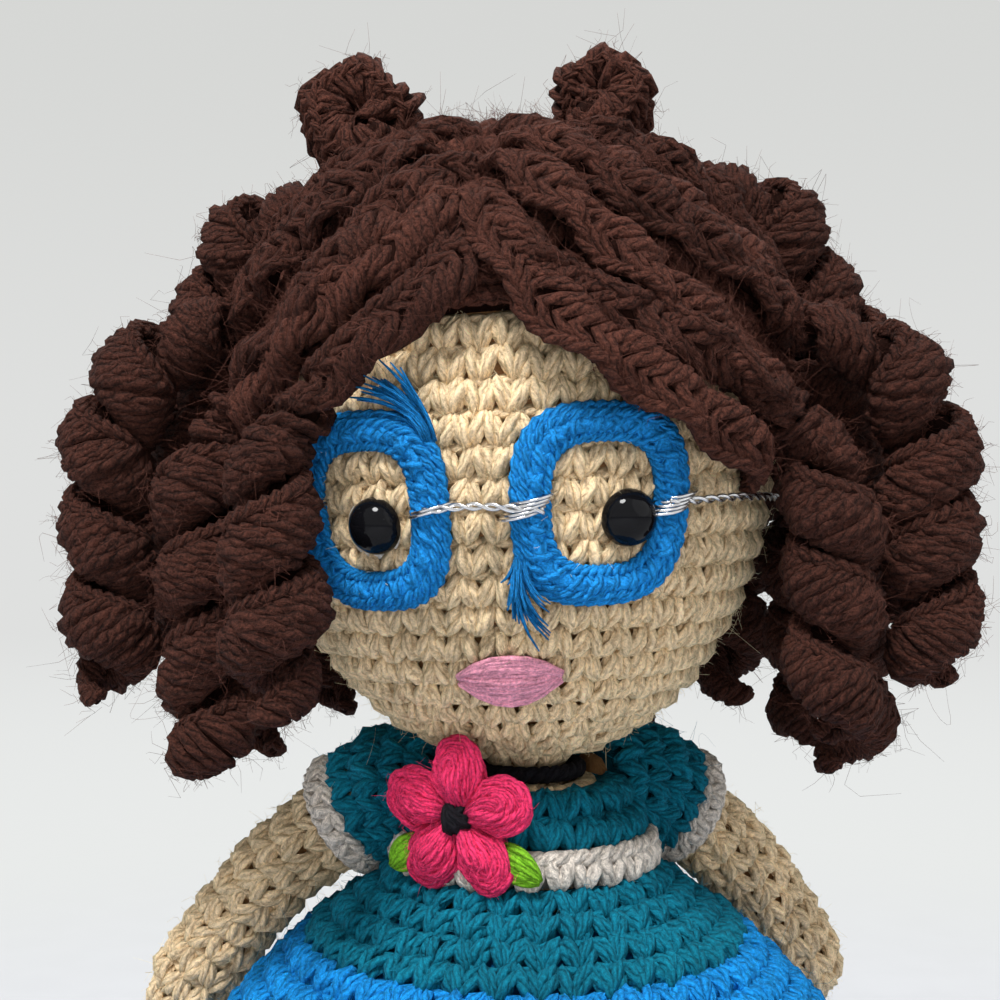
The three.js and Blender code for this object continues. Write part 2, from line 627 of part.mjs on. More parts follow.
// How wide a strand is at w, when it starts to curl at a given w: its helix and its yarn
function girth(w, { curlStart, curlRamp }) {
  const grown = smooth((w - curlStart) / curlRamp);
  const yarnRadius = mix(ROOT_YARN_RADIUS, CURL_YARN_RADIUS, grown);
  const lift = CAP_THICKNESS + GAP + CURL_RADIUS * grown;
  const room = laneRoom(w, lift) - yarnRadius - LOOSE / 2;
  return { yarnRadius, helix: Math.max(0, Math.min(HELIX_RADIUS * grown, room)) };
}

const INNER_CURLING = { curlStart: 0.7, curlRamp: 0.32 };
const OUTER_CURLING = { curlStart: 0.32, curlRamp: 0.34 };
const restingLift = (w, curling) => {
  const { yarnRadius, helix } = girth(w, curling);
  return CAP_THICKNESS + GAP + yarnRadius + helix;
};

// An outer strand lies in the groove between two inner ones
function outerLift(w, curling) {
  const inner = girth(w, INNER_CURLING);
  const outer = girth(w, curling);
  const innerLift = restingLift(w, INNER_CURLING);
  const touch = inner.yarnRadius + inner.helix + outer.yarnRadius + outer.helix + LOOSE;
  const over = innerLift + Math.sqrt(Math.max(0, touch ** 2 - laneRoom(w, innerLift) ** 2));
  const alone = restingLift(w, curling);
  return mix(alone, Math.max(alone, over), smooth((w - 0.48) / 0.14));
}

function strandPoint(azimuth, w, lift) {
  const level = (Math.min(w, 1) * Math.PI) / 2;
  const radius = (mix(HEAD_RADIUS, hairRing, smooth((w - 0.6) / 0.4)) + lift) * Math.sin(level);
  const hanging = Math.max(w - 1, 0) * QUARTER;
  const z = (HEAD_HALF_HEIGHT + lift) * Math.cos(level) - hanging;
  return new THREE.Vector3(radius * Math.sin(azimuth), -radius * Math.cos(azimuth), z + HEAD_RISE);
}

// One strand: a flat-lying root that winds up into a corkscrew. The line of centres is measured
// first, so that the curls keep their pitch along it.
const LINE_SAMPLES = 160;
function strand({ azimuthAt, root, end, liftAt, curling, pitch, phase, hand }) {
  const line = Array.from({ length: LINE_SAMPLES + 1 }, (_, i) => {
    const w = mix(root, end, i / LINE_SAMPLES);
    const press = ROOT_PRESS * (1 - smooth((w - root) / ROOT_PRESS_SPAN_SHARE));
    return { w, centre: strandPoint(azimuthAt(w), w, liftAt(w, curling) - press), ...girth(w, curling) };
  });
  const run = [0];
  for (let i = 1; i < line.length; i++) run.push(run[i - 1] + line[i].centre.distanceTo(line[i - 1].centre));
  const length = run.at(-1);
  const at = (distance) => {
    const i = Math.max(1, run.findIndex((reached) => reached >= distance));
    const share = THREE.MathUtils.clamp((distance - run[i - 1]) / (run[i] - run[i - 1]), 0, 1);
    const [a, b] = [line[i - 1], line[i]];
    return {
      centre: a.centre.clone().lerp(b.centre, share),
      along: b.centre.clone().sub(a.centre).normalize(),
      yarnRadius: mix(a.yarnRadius, b.yarnRadius, share),
      helix: mix(a.helix, b.helix, share),
    };
  };
  const flat = run[Math.max(1, line.findIndex(({ w }) => w >= curling.curlStart))];
  const curled = length - 2 * CURL_YARN_RADIUS - flat;
  const turns = Math.round((2 * curled) / pitch) / 2;
  const curls = Math.round(turns * CURL_STEPS);
  const rootSteps = Math.max(1, Math.round(flat / ROOT_STEP));
  const stops = [];
  for (let i = 0; i < rootSteps; i++) stops.push((flat * i) / rootSteps);
  for (let i = 0; i <= curls; i++) stops.push(flat + (curled * i) / curls);
  stops.push(length);
  const centres = stops.map((distance, i) => {
    const { centre, along, helix } = at(distance);
    const outward = new THREE.Vector3(centre.x, centre.y, 0).normalize();
    const aside = new THREE.Vector3().crossVectors(along, outward).normalize();
    const stand = new THREE.Vector3().crossVectors(aside, along);
    const wound = Math.max(Math.min(i - rootSteps, curls) / CURL_STEPS, 0);
    const turn = phase + hand * 2 * Math.PI * wound;
    return centre.addScaledVector(stand, helix * Math.cos(turn)).addScaledVector(aside, helix * Math.sin(turn));
  });
  return { centres, radii: stops.map((distance) => at(distance).yarnRadius), turns };
}

// The least gap between parts of a tube that are more than half a turn apart along it
function selfGap(centres, radii) {
  const run = [0];
  for (let i = 1; i < centres.length; i++) run.push(run[i - 1] + centres[i].distanceTo(centres[i - 1]));
  let least = Infinity;
  for (let i = 0; i < centres.length; i++) {
    for (let k = i + 1; k < centres.length; k++) {
      if (run[k] - run[i] < Math.PI * HELIX_RADIUS) continue;
      least = Math.min(least, centres[i].distanceTo(centres[k]) - radii[i] - radii[k]);
    }
  }
  return least;
}

// The ends that are drawn down into the cap are cut to its outside
const capSkin = atHead(
  egg(HEAD_RADIUS + CAP_THICKNESS + GAP, HEAD_HALF_HEIGHT + CAP_THICKNESS + GAP, HEAD_AROUND, HEAD_UP),
);
const hairReport = [];
function hair(name, centres, radii, turns) {
  hairReport.push({ turns, gap: selfGap(centres, radii) });
  piece(name, BROWN, cut(ringSolid(sectionRings(centres, radii, CURL_SIDES)), capSkin), head);
}

// Strands that are rooted beside the parting sweep along the hairline to their lane. A row gives the
// lane, the root as a share of the way down, the end as a share of half the head's height below the
// widest level, and for the swept ones the azimuth of the root and the span of the sweep.
const INNER_STRANDS = [
  [0, 0.66, 0.76, -6, 0.34],
  [1, 0.58, 0.98, -26, 0.42],
  [2, 0.62, 0.84],
  [3, 0.62, 1.04],
  [4, 0.62, 0.94],
  [5, 0.62, 1.06],
  [6, 0.62, 0.98],
  [7, 0.62, 1.06],
  [8, 0.62, 0.94],
  [9, 0.62, 1.04],
  [10, 0.62, 1.08],
  [11, 0.67, 0.92, 6, 0.35],
];
const OUTER_STRANDS = [
  [1.5, 0.36, 0.74, -32, 0.46],
  [2.5, 0.45, 0.66],
  [3.5, 0.36, 0.82],
  [8.5, 0.36, 0.8],
  [9.5, 0.42, 0.62],
  [10.5, 0.4, 0.78, 22, 0.5],
];
const FRINGE_CURLING_RAMP = 0.2;
const GOLDEN_TURN = Math.PI * (3 - Math.sqrt(5)); // spreads the curls' phases evenly

function hangStrands(rows, prefix, tier) {
  for (const [i, [lane, root, endShare, rootDegrees, span]] of rows.entries()) {
    const side = lane < LANE_COUNT / 2 ? 1 : -1;
    const to = laneAzimuth(lane) + (side < 0 ? 2 * Math.PI : 0);
    const swept = rootDegrees !== undefined;
    const curling = swept
      ? { curlStart: Math.max(root + span * 0.7, tier.curling.curlStart), curlRamp: FRINGE_CURLING_RAMP }
      : tier.curling;
    const sweep = (w) => mix(degrees(rootDegrees), to, smooth((w - root) / span));
    const { centres, radii, turns } = strand({
      azimuthAt: swept ? sweep : () => to,
      root,
      end: 1 + (endShare * HEAD_HALF_HEIGHT) / QUARTER,
      liftAt: tier.liftAt,
      curling,
      pitch: tier.pitch,
      phase: i * GOLDEN_TURN,
      hand: side * tier.hand,
    });
    hair(`${prefix}_${i + 1}`, centres, radii, turns);
  }
}
hangStrands(INNER_STRANDS, "curl", {
  curling: INNER_CURLING,
  liftAt: restingLift,
  pitch: INNER_CURL_PITCH,
  hand: 1,
});
hangStrands(OUTER_STRANDS, "outer_curl", {
  curling: OUTER_CURLING,
  liftAt: outerLift,
  pitch: OUTER_CURL_PITCH,
  hand: -1,
});

// Crown curls: a loop and a half of strand standing on the cap, wound about a line from front to back
const CROWN_TURNS = 1.5;
for (const [name, side] of sides) {
  const steps = CROWN_TURNS * CURL_STEPS;
  const ring = CROWN_CURL_RADII[name] - CURL_YARN_RADIUS;
  const out = Math.abs(CROWN_CURL_PLACES[name]) / HEAD_RADIUS;
  const z = HEAD_HALF_HEIGHT * Math.sqrt(1 - out ** 2);
  const standing = headNormal((side * Math.PI) / 2, z);
  const across = new THREE.Vector3(0, 1, 0).cross(standing);
  const seat = overHead((side * Math.PI) / 2, z, CAP_THICKNESS + GAP + CROWN_CURL_RADII[name] - ROOT_PRESS);
  const centres = Array.from({ length: steps + 1 }, (_, i) => {
    const wound = i / CURL_STEPS;
    const turn = side * 2 * Math.PI * wound - Math.PI / 2;
    return seat
      .clone()
      .addScaledVector(across, ring * Math.cos(turn))
      .addScaledVector(standing, ring * Math.sin(turn))
      .add(new THREE.Vector3(0, (wound - CROWN_TURNS / 2) * CROWN_CURL_PITCH, 0));
  });
  hair(`crown_curl_${name}`, centres, centres.map(() => CURL_YARN_RADIUS), CROWN_TURNS);
}
const totalTurns = hairReport.reduce((sum, { turns }) => sum + turns, 0);
const leastGap = Math.min(...hairReport.map(({ gap }) => gap));
console.log(`hair: ${hairReport.length} strands, ${totalTurns} curls, least gap of a strand to itself ${leastGap.toFixed(2)} mm`);

// Spectacles: two soft-cornered rings laid on the face, joined and carried by wire
const RING_STEPS = 20;
const RING_SIDES = 8;
const RING_CORNER = 3; // 2 is an ellipse, more is squarer
const ringLift = GAP + RING_THICKNESS / 2 + RING_BAND ** 2 / (8 * HEAD_RADIUS);
const ringAzimuth = (side) => (RING_SLIP + (side * RING_SPACING) / 2) / radiusAt(RING_DROP);
function ringPoint(side, turn, grow, lift) {
  const [c, s] = [Math.cos(turn), Math.sin(turn)];
  const round = (Math.abs(c) ** RING_CORNER + Math.abs(s) ** RING_CORNER) ** (-1 / RING_CORNER);
  const across = (RING_HALF_WIDTH - RING_BAND / 2 + grow) * c * round;
  const rise = (RING_HALF_HEIGHT - RING_BAND / 2 + grow) * s * round;
  return overHead(ringAzimuth(side) + across / radiusAt(RING_DROP), rise - RING_DROP, lift);
}
const awayFromHead = (point) => {
  const z = point.z - HEAD_RISE;
  return new THREE.Vector3(point.x / HEAD_RADIUS ** 2, point.y / HEAD_RADIUS ** 2, z / HEAD_HALF_HEIGHT ** 2).normalize();
};
for (const [name, side] of sides) {
  const centres = Array.from({ length: RING_STEPS }, (_, i) => ringPoint(side, (2 * Math.PI * i) / RING_STEPS, 0, ringLift));
  const widths = centres.map(() => RING_BAND / 2);
  const heights = centres.map(() => RING_THICKNESS / 2);
  const rings = sectionRings(centres, widths, RING_SIDES, { heights, up: awayFromHead, closed: true });
  piece(`spectacle_ring_${name}`, AZURE, ringSolid(rings, { loop: true }), head);
}

// A wire lying over the head between two azimuths at one height
function headWire(from, to, z, steps) {
  const centres = Array.from({ length: steps + 1 }, (_, i) => overHead(mix(from, to, i / steps), z, ringLift));
  return ringSolid(sectionRings(centres, centres.map(() => WIRE_RADIUS), 6, { up: awayFromHead }));
}
const ringReach = (RING_HALF_WIDTH + GAP) / radiusAt(RING_DROP);
piece(
  "bridge_wire",
  WIRE,
  headWire(ringAzimuth(-1) + ringReach, ringAzimuth(1) - ringReach, -RING_DROP, 4),
  head,
);
for (const [name, side] of sides) {
  const start = ringAzimuth(side) + side * ringReach;
  piece(`temple_wire_${name}`, WIRE, headWire(start, side * degrees(TEMPLE_REACH_DEGREES), -RING_DROP, 8), head);
}

// Yarn tails left standing where each ring was fastened off
function tail(name, side, turn, lean) {
  const root = ringPoint(side, turn, RING_BAND / 2 + GAP + TAIL_RADIUS * 0.3, ringLift);
  const tip = ringPoint(side, turn + lean, RING_BAND / 2 + GAP + TAIL_RADIUS + TAIL_LENGTH * 0.35, ringLift + TAIL_LENGTH * 0.3);
  const middle = root.clone().lerp(tip, 0.5).addScaledVector(awayFromHead(root), TAIL_RADIUS / 2);
  const radii = [TAIL_RADIUS * 0.7, TAIL_RADIUS, TAIL_RADIUS * 0.5];
  piece(name, AZURE, ringSolid(sectionRings([root, middle, tip], radii, 6, { up: awayFromHead })), head);
}
tail("ring_tail_right", -1, degrees(38), degrees(34));
tail("ring_tail_left", 1, degrees(207), degrees(24));

// Arms: the line of the arm leaves the shoulder almost level and droops over the skirt
const ARM_LINE_SHARES = [
  [0.2, 0],
  [0.42, 0.07],
  [0.68, 0.34],
  [0.87, 0.66],
  [1, 1],
];
const ARM_GIRTH_SHARES = [0.98, 1.03, 1, 0.97, 0.94, 0.96];
const ARM_SIDES = 8;
const SLEEVE_SIDES = 12;

function armLine(side) {
  const points = ARM_LINE_SHARES.map(([out, down]) => new THREE.Vector3(side * out * ARM_SPAN, 0, SHOULDER_Z - down * ARM_DROP));
  return new THREE.CatmullRomCurve3(points);
}

// The share of the arm's line at which it has come out to a distance from the doll's middle
function armShare(line, out) {
  let [low, high] = [0, 1];
  for (let i = 0; i < 30; i++) {
    const middle = (low + high) / 2;
    if (Math.abs(line.getPointAt(middle).x) < out) low = middle;
    else high = middle;
  }
  return low;
}

// What the shoulder keeps clear of: the dress, turned about the line that the arm swings about
function shoulderTool(side) {
  const reach = SLEEVE_RADIUS * 1.6;
  const steps = 8;
  const outline = [[0, -HEM_RADIUS]];
  outline.push([reach, -HEM_RADIUS]);
  for (let i = steps; i >= 0; i--) {
    const out = (reach * i) / steps;
    outline.push([out, dressRadius(SHOULDER_Z - out)]);
  }
  return lathe(outline, 16)
    .rotateZ(-side * Math.PI / 2)
    .translate(0, 0, SHOULDER_Z);
}

const crossGuide = () => new THREE.Vector3(0, 1, 0);
for (const [name, side] of sides) {
  const line = armLine(side);
  const shoulder = shoulderTool(side);
  const hung = (geometry) => geometry.rotateZ(side * degrees(ARM_BACK_DEGREES[name]));
  const armSteps = 8;
  const centres = Array.from({ length: armSteps + 1 }, (_, i) => line.getPointAt(i / armSteps));
  const radii = centres.map((_, i) => {
    const share = i / armSteps;
    const slot = Math.min(Math.floor(share * ARM_GIRTH_SHARES.length), ARM_GIRTH_SHARES.length - 1);
    return mix(ARM_RADIUS * ARM_GIRTH_SHARES[slot], HAND_RADIUS, smooth((share - 0.78) / 0.2));
  });
  const tipRun = line.getTangentAt(1);
  for (const turn of [35, 65]) {
    const ahead = HAND_RADIUS * Math.sin(degrees(turn));
    centres.push(centres[armSteps].clone().addScaledVector(tipRun, ahead));
    radii.push(HAND_RADIUS * Math.cos(degrees(turn)));
  }
  const tip = centres[armSteps].clone().addScaledVector(tipRun, HAND_RADIUS);
  const arm = ringSolid(sectionRings(centres, radii, ARM_SIDES, { up: crossGuide }), { poles: [null, tip] });
  piece(`arm_${name}`, SKIN, hung(cut(arm, shoulder)), doll);

  // The sleeve is a hollow puff round the top of the arm, gathered at its end into the cuff
  const sleeveEnd = armShare(line, SLEEVE_SPAN);
  const SLEEVE_SHARES = [0.84, 0.98, 1, 0.97, 0.86];
  const sleeveStops = SLEEVE_SHARES.map((_, i) => (sleeveEnd * i) / (SLEEVE_SHARES.length - 1));
  const sleeveCentres = sleeveStops.map((share) => line.getPointAt(share));
  const sleeveGuides = { up: crossGuide, runs: sleeveStops.map((share) => line.getTangentAt(share)) };
  const outer = SLEEVE_SHARES.map((share) => share * SLEEVE_RADIUS);
  const armHole = ARM_RADIUS * Math.max(...ARM_GIRTH_SHARES) + GAP;
  const inner = outer.map((radius, i) => (i === outer.length - 1 ? armHole : Math.max(armHole, radius - SLEEVE_WALL)));
  const outerRings = sectionRings(sleeveCentres, outer, SLEEVE_SIDES, sleeveGuides);
  const innerRings = sectionRings(sleeveCentres, inner, SLEEVE_SIDES, sleeveGuides).reverse();
  piece(`sleeve_${name}`, TEAL, hung(cut(ringSolid([...outerRings, ...innerRings], { loop: true }), shoulder)), doll);

  const lineLength = line.getLength();
  const cuffFrom = sleeveEnd + GAP / lineLength;
  const cuffTo = cuffFrom + CUFF_WIDTH / lineLength;
  const cuffStops = [0, 0.5, 1].map((share) => mix(cuffFrom, cuffTo, share));
  const cuffCentres = cuffStops.map((share) => line.getPointAt(share));
  const cuffGuides = { up: crossGuide, runs: cuffStops.map((share) => line.getTangentAt(share)) };
  const cuffOuter = [0.94, 1, 0.94].map((share) => share * CUFF_RADIUS);
  const cuffRings = sectionRings(cuffCentres, cuffOuter, SLEEVE_SIDES, cuffGuides);
  const cuffInside = sectionRings(cuffCentres, cuffOuter.map(() => armHole), SLEEVE_SIDES, cuffGuides).reverse();
  piece(`cuff_${name}`, CREAM, hung(ringSolid([...cuffRings, ...cuffInside], { loop: true })), doll);
}

// Legs and shoes
const soleZ = FOOT_LIFT;
const legBase = soleZ + FOOT_DEPTH;
const legOutline = [
  [0, legBase],
  [ANKLE_RADIUS * 0.9, legBase],
  [ANKLE_RADIUS, mix(legBase, HIP_Z, 0.12)],
  [mix(ANKLE_RADIUS, LEG_RADIUS, 0.45), mix(legBase, HIP_Z, 0.45)],
  [mix(ANKLE_RADIUS, LEG_RADIUS, 0.9), mix(legBase, HIP_Z, 0.85)],
  ...[0, 22, 44, 66].map((turn) => [
    LEG_RADIUS * Math.cos(degrees(turn)),
    HIP_Z + LEG_RADIUS * Math.sin(degrees(turn)),
  ]),
  [0, HIP_Z + LEG_RADIUS],
];
for (const [i, [name]] of sides.entries()) {
  const hip = hips[i];
  piece(`leg_${name}`, SKIN, turned(legOutline, 14).translate(hip.x, 0, 0), doll);
  const shoe = new THREE.SphereGeometry(1, 12, 8)
    .rotateX(Math.PI / 2)
    .scale(SHOE_WIDTH / 2, SHOE_LENGTH / 2, SHOE_HEIGHT * 0.62)
    .translate(hip.x, -SHOE_TOE, soleZ + SHOE_HEIGHT * 0.38);
  const ground = new THREE.BoxGeometry(2 * SHOE_WIDTH, 2 * SHOE_LENGTH, SHOE_HEIGHT)
    .translate(hip.x, 0, soleZ - SHOE_HEIGHT / 2);
  const ankle = new THREE.CylinderGeometry(ANKLE_RADIUS + 2 * GAP, ANKLE_RADIUS + 2 * GAP, SHOE_HEIGHT + OVERRUN, 14)
    .rotateX(Math.PI / 2)
    .translate(hip.x, 0, legBase - GAP + (SHOE_HEIGHT + OVERRUN) / 2);
  piece(`shoe_${name}`, BLACK, cut(shoe, ground, ankle), doll);
}

// Flower: looped petals round a dark button, with two leaves below, sewn to the front of the bodice
const flowerZ = WAIST_Z + FLOWER_RISE;
const flowerBack = waistbandOuter + GAP - FLOWER_PRESS;
const facing = (geometry) =>
  geometry.rotateX(Math.PI / 2).translate(0, -flowerBack, flowerZ).rotateZ(degrees(FLOWER_TURN_DEGREES));
const petals = Array.from({ length: PETAL_COUNT }, (_, i) => {
  const turn = (2 * Math.PI * (i + 0.25)) / PETAL_COUNT;
  return new THREE.SphereGeometry(1, 8, 6)
    .scale(FLOWER_RADIUS * 0.52, FLOWER_RADIUS * 0.36, FLOWER_THICKNESS / 2)
    .translate(FLOWER_RADIUS * 0.48, 0, FLOWER_THICKNESS / 2)
    .rotateZ(turn);
});
const buttonHole = new THREE.CylinderGeometry(BUTTON_RADIUS + GAP, BUTTON_RADIUS + GAP, 3 * FLOWER_THICKNESS, 12)
  .rotateX(Math.PI / 2);
const core = new THREE.CylinderGeometry(FLOWER_RADIUS * 0.46, FLOWER_RADIUS * 0.46, FLOWER_THICKNESS * 0.7, 12)
  .rotateX(Math.PI / 2)
  .translate(0, 0, FLOWER_THICKNESS * 0.4);
piece("flower_petals", PINK, facing(cut(joined(core, ...petals), buttonHole)), doll);
const button = new THREE.SphereGeometry(1, 12, 8)
  .scale(BUTTON_RADIUS, BUTTON_RADIUS, FLOWER_THICKNESS * 0.42)
  .translate(0, 0, FLOWER_THICKNESS * 0.45);
piece("flower_button", BLACK, facing(button), doll);
const petalRoom = joined(
  ...petals.map((petal) => petal.clone().translate(0, 0, GAP)),
  ...petals.map((petal) => petal.clone().translate(0, 0, -GAP)),
  core.clone().scale(1 + GAP / FLOWER_RADIUS, 1 + GAP / FLOWER_RADIUS, 1.5),
);
for (const [name, side] of sides) {
  const leaf = new THREE.SphereGeometry(1, 8, 6)
    .scale(LEAF_WIDTH / 2, LEAF_LENGTH / 2, LEAF_THICKNESS / 2)
    .translate(0, -FLOWER_RADIUS * 0.75 - LEAF_LENGTH / 4, LEAF_THICKNESS)
    .rotateZ(side * degrees(LEAF_SPREAD_DEGREES));
  piece(`flower_leaf_${name}`, LEAF_GREEN, facing(cut(leaf, petalRoom)), doll);
}

// The origin is the middle of the footprint, at the floor
const extent = new THREE.Box3().setFromObject(doll, true);
const middle = extent.getCenter(new THREE.Vector3());
doll.position.set(-middle.x, -middle.y, 0);

export default doll;
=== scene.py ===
"""A crocheted doll with corkscrew hair, yarn spectacles on wire and a bell skirt, dressed over its frame.

Lengths in the code are millimetres in the frame's axes, and become metres when a mesh is made.
Every crocheted surface is one yarn leg, modelled once and bent along each stitch of the work.
"""

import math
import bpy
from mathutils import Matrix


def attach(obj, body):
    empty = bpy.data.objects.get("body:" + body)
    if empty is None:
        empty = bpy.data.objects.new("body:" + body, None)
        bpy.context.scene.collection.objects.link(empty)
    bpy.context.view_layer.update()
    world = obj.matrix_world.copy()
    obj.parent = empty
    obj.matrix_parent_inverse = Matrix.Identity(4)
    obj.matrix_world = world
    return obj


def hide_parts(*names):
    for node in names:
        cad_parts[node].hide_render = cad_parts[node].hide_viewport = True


bl_info = {
    "name": "Crocheted doll",
    "version": (1, 0, 0),
    "blender": (4, 5, 0),
    "location": "View3D > Sidebar > Doll",
    "description": "Makes the stitches, curls, spectacles, dress and stage of a crocheted doll",
    "category": "Add Mesh",
}

import bpy
import numpy as np
from mathutils import Vector

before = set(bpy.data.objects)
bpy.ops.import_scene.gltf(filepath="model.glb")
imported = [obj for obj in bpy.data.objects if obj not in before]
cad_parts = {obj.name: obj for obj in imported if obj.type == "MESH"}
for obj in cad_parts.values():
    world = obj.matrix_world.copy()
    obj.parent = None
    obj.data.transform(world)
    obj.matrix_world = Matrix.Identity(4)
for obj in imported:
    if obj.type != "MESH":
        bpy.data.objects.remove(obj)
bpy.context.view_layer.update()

METRE = 0.001
TURN = 2 * math.pi
SIDES = (("right", -1), ("left", 1))


def paint(red, green, blue):
    """A colour as screens show it, as the linear numbers that Blender keeps."""
    return tuple(
        ((c / 255 + 0.055) / 1.055) ** 2.4 if c > 10 else c / 255 / 12.92 for c in (red, green, blue)
    )


def smooth(share):
    share = np.clip(share, 0.0, 1.0)
    return share * share * (3 - 2 * share)


def mix(a, b, share):
    return a + (b - a) * share


def unit(v):
    return v / np.maximum(np.linalg.norm(v, axis=-1, keepdims=True), 1e-9)


def square_to(v, axis):
    """What is left of a vector without its part along an axis."""
    return v - (v * axis).sum(-1, keepdims=True) * axis


def run_along(points):
    """How far along a line each of its points lies."""
    return np.concatenate([[0], np.linalg.norm(np.diff(points, axis=0), axis=1).cumsum()])


def read(at, knots, table):
    """The columns of a table, read between its rows."""
    return [np.interp(at, knots, column) for column in table.T]


def read_points(at, knots, table):
    return np.stack(read(at, knots, table), -1)


def mm(value):
    return value / METRE


# Sizes and colours that a user would change


def yarn_colour(name, description, colour):
    return bpy.props.FloatVectorProperty(
        name=name, description=description, default=paint(*colour), subtype="COLOR", size=3, min=0, max=1
    )


def length(name, description, default):
    return bpy.props.FloatProperty(
        name=name, description=description, default=default * METRE, unit="LENGTH", precision=5
    )


class DollColours(bpy.types.PropertyGroup):
    """The yarns' colours"""

    skin: yarn_colour("Skin", "Yarn of the head, arms and legs", (230, 204, 165))
    # Painted shade: the skin shade is blended in between the skin yarn's plies, and colours the skin's lining.
    skin_shade: yarn_colour("Skin shade", "Skin yarn between its plies", (150, 110, 72))
    hair: yarn_colour("Hair", "Yarn of the cap and the curls", (82, 47, 37))
    # Painted shade: the hair shade is blended in between the hair yarn's plies.
    hair_shade: yarn_colour("Hair shade", "Hair yarn between its plies", (7, 4, 3))
    spectacles: yarn_colour("Spectacles", "Yarn of the two rings", (30, 138, 214))
    yoke: yarn_colour("Yoke", "Yarn of the bodice, sleeves and upper skirt", (10, 112, 136))
    flare: yarn_colour("Flare", "Yarn of the skirt's flare", (24, 140, 216))
    trim: yarn_colour("Trim", "Yarn of the waistband, cuffs and hem", (222, 212, 200))
    dark: yarn_colour("Dark", "Yarn of the collar, shoes and flower's button", (26, 25, 30))
    flower: yarn_colour("Flower", "Looped yarn of the petals", (238, 58, 108))
    leaf: yarn_colour("Leaf", "Yarn of the leaves", (126, 188, 44))
    mouth: yarn_colour("Mouth", "Floss of the mouth", (226, 152, 172))


class DollStitches(bpy.types.PropertyGroup):
    """The sizes of the stitches"""

    skin_width: length("Skin stitch width", "Width of a stitch of the head and limbs", 4.5)
    skin_height: length("Skin row height", "Height of a row of the head and limbs", 4.7)
    cap_width: length("Cap stitch width", "Width of a stitch of the wig's cap", 5.0)
    cap_height: length("Cap row height", "Height of a round of the wig's cap", 5.0)
    dress_width: length("Dress stitch width", "Width of a stitch of the dress", 5.2)
    dress_height: length("Dress row height", "Height of a row of the dress", 4.8)
    ply_twist: length("Ply twist", "Length of yarn in which its plies turn once", 12.0)


class DollHair(bpy.types.PropertyGroup):
    """The shape of the curls"""

    pitch: length("Curl pitch", "Distance from one bulge of a curl to the next", 12.6)
    coil: length("Coil radius", "Radius that the strand winds at", 3.7)
    thickness: length("Strand half thickness", "Half thickness of a wound strand, measured outwards", 3.5)
    height: length("Strand half height", "Half height of a wound strand, measured along the curl", 4.5)
    ply: length("Stitch yarn radius", "Radius of the yarn in the strands", 1.05)
    strays: bpy.props.IntProperty(
        name="Stray fibres", description="Stray fibres that stand out of the hair", default=26400, min=0
    )


class DollStage(bpy.types.PropertyGroup):
    """Camera, floor and light"""

    distance: length("Camera distance", "From the camera to the middle of the head", 262.0)
    eye_height: length("Camera height", "Height of the camera over the floor", 142.9)
    aside: length("Camera offset", "How far the camera is to the doll's right", 4.2)
    view_angle: bpy.props.FloatProperty(
        name="View angle", description="Width of the camera's view", default=math.radians(35), subtype="ANGLE"
    )
    backdrop: yarn_colour("Backdrop", "Colour behind the doll", (223, 224, 223))


def stitch(kind):
    """The width and height of a stitch of the skin, the cap or the dress."""
    sizes = bpy.context.scene.doll_stitches
    return mm(getattr(sizes, f"{kind}_width")), mm(getattr(sizes, f"{kind}_height"))


# Objects and meshes


def fresh():
    """Leaves edit mode with nothing selected."""
    if bpy.context.object and bpy.context.object.mode != "OBJECT":
        bpy.ops.object.mode_set(mode="OBJECT")
    bpy.ops.object.select_all(action="DESELECT")


def choose(obj):
    fresh()
    obj.select_set(True)
    bpy.context.view_layer.objects.active = obj


def edit(obj):
    choose(obj)
    bpy.ops.object.mode_set(mode="EDIT")
    bpy.ops.mesh.select_all(action="SELECT")


def settle(obj):
    """Applies place, turn and scale, so that the object sits at the origin with its place in its mesh."""
    choose(obj)
    bpy.ops.object.transform_apply(location=True, rotation=True, scale=True)
    return obj


def join(obj, other):
    choose(other)
    obj.select_set(True)
    bpy.context.view_layer.objects.active = obj
    bpy.ops.object.join()
    return obj


def reshape(obj, move):
    """Moves each corner of a mesh, by its place in millimetres."""
    for vertex in obj.data.vertices:
        vertex.co = np.asarray(move(*np.array(vertex.co) / METRE)) * METRE


def ball(name, half_sizes, segments, rings, centre=(0, 0, 0)):
    """A round ball, drawn out to its three half sizes."""
    fresh()
    bpy.ops.mesh.primitive_uv_sphere_add(segments=segments, ring_count=rings, radius=METRE, location=(0, 0, 0))
    obj = bpy.context.object
    obj.name = obj.data.name = name
    obj.scale = half_sizes
    obj.location = tuple(x * METRE for x in centre)
    return settle(obj)


def place(obj, body, stands_for, slot, finish=None):
    """Hands a finished piece to its body, in place of the solids that it stands for."""
    if finish is not None:
        obj.data.materials.clear()
        obj.data.materials.append(finish)
    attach(obj, body)
    if stands_for:
        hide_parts(*stands_for)
    return obj


# Laid yarn that gets stray fibres, with its body and the kind of fibre
FUZZY = []


def hand_over(work, name, finishes, body, node, slot, inside=None, fuzz=None):
    """Makes laid yarn into a piece, over the lining that inside makes, and gives it to its body."""
    made = work.make(name, finishes)
    if inside is not None:
        join(made, inside())
    place(made, body, [node], slot)
    if fuzz is not None:
        FUZZY.append((work, body, fuzz))


# One plain tube of yarn is modelled for each count of steps and sides, and bent along every stitch

TUBES = {}


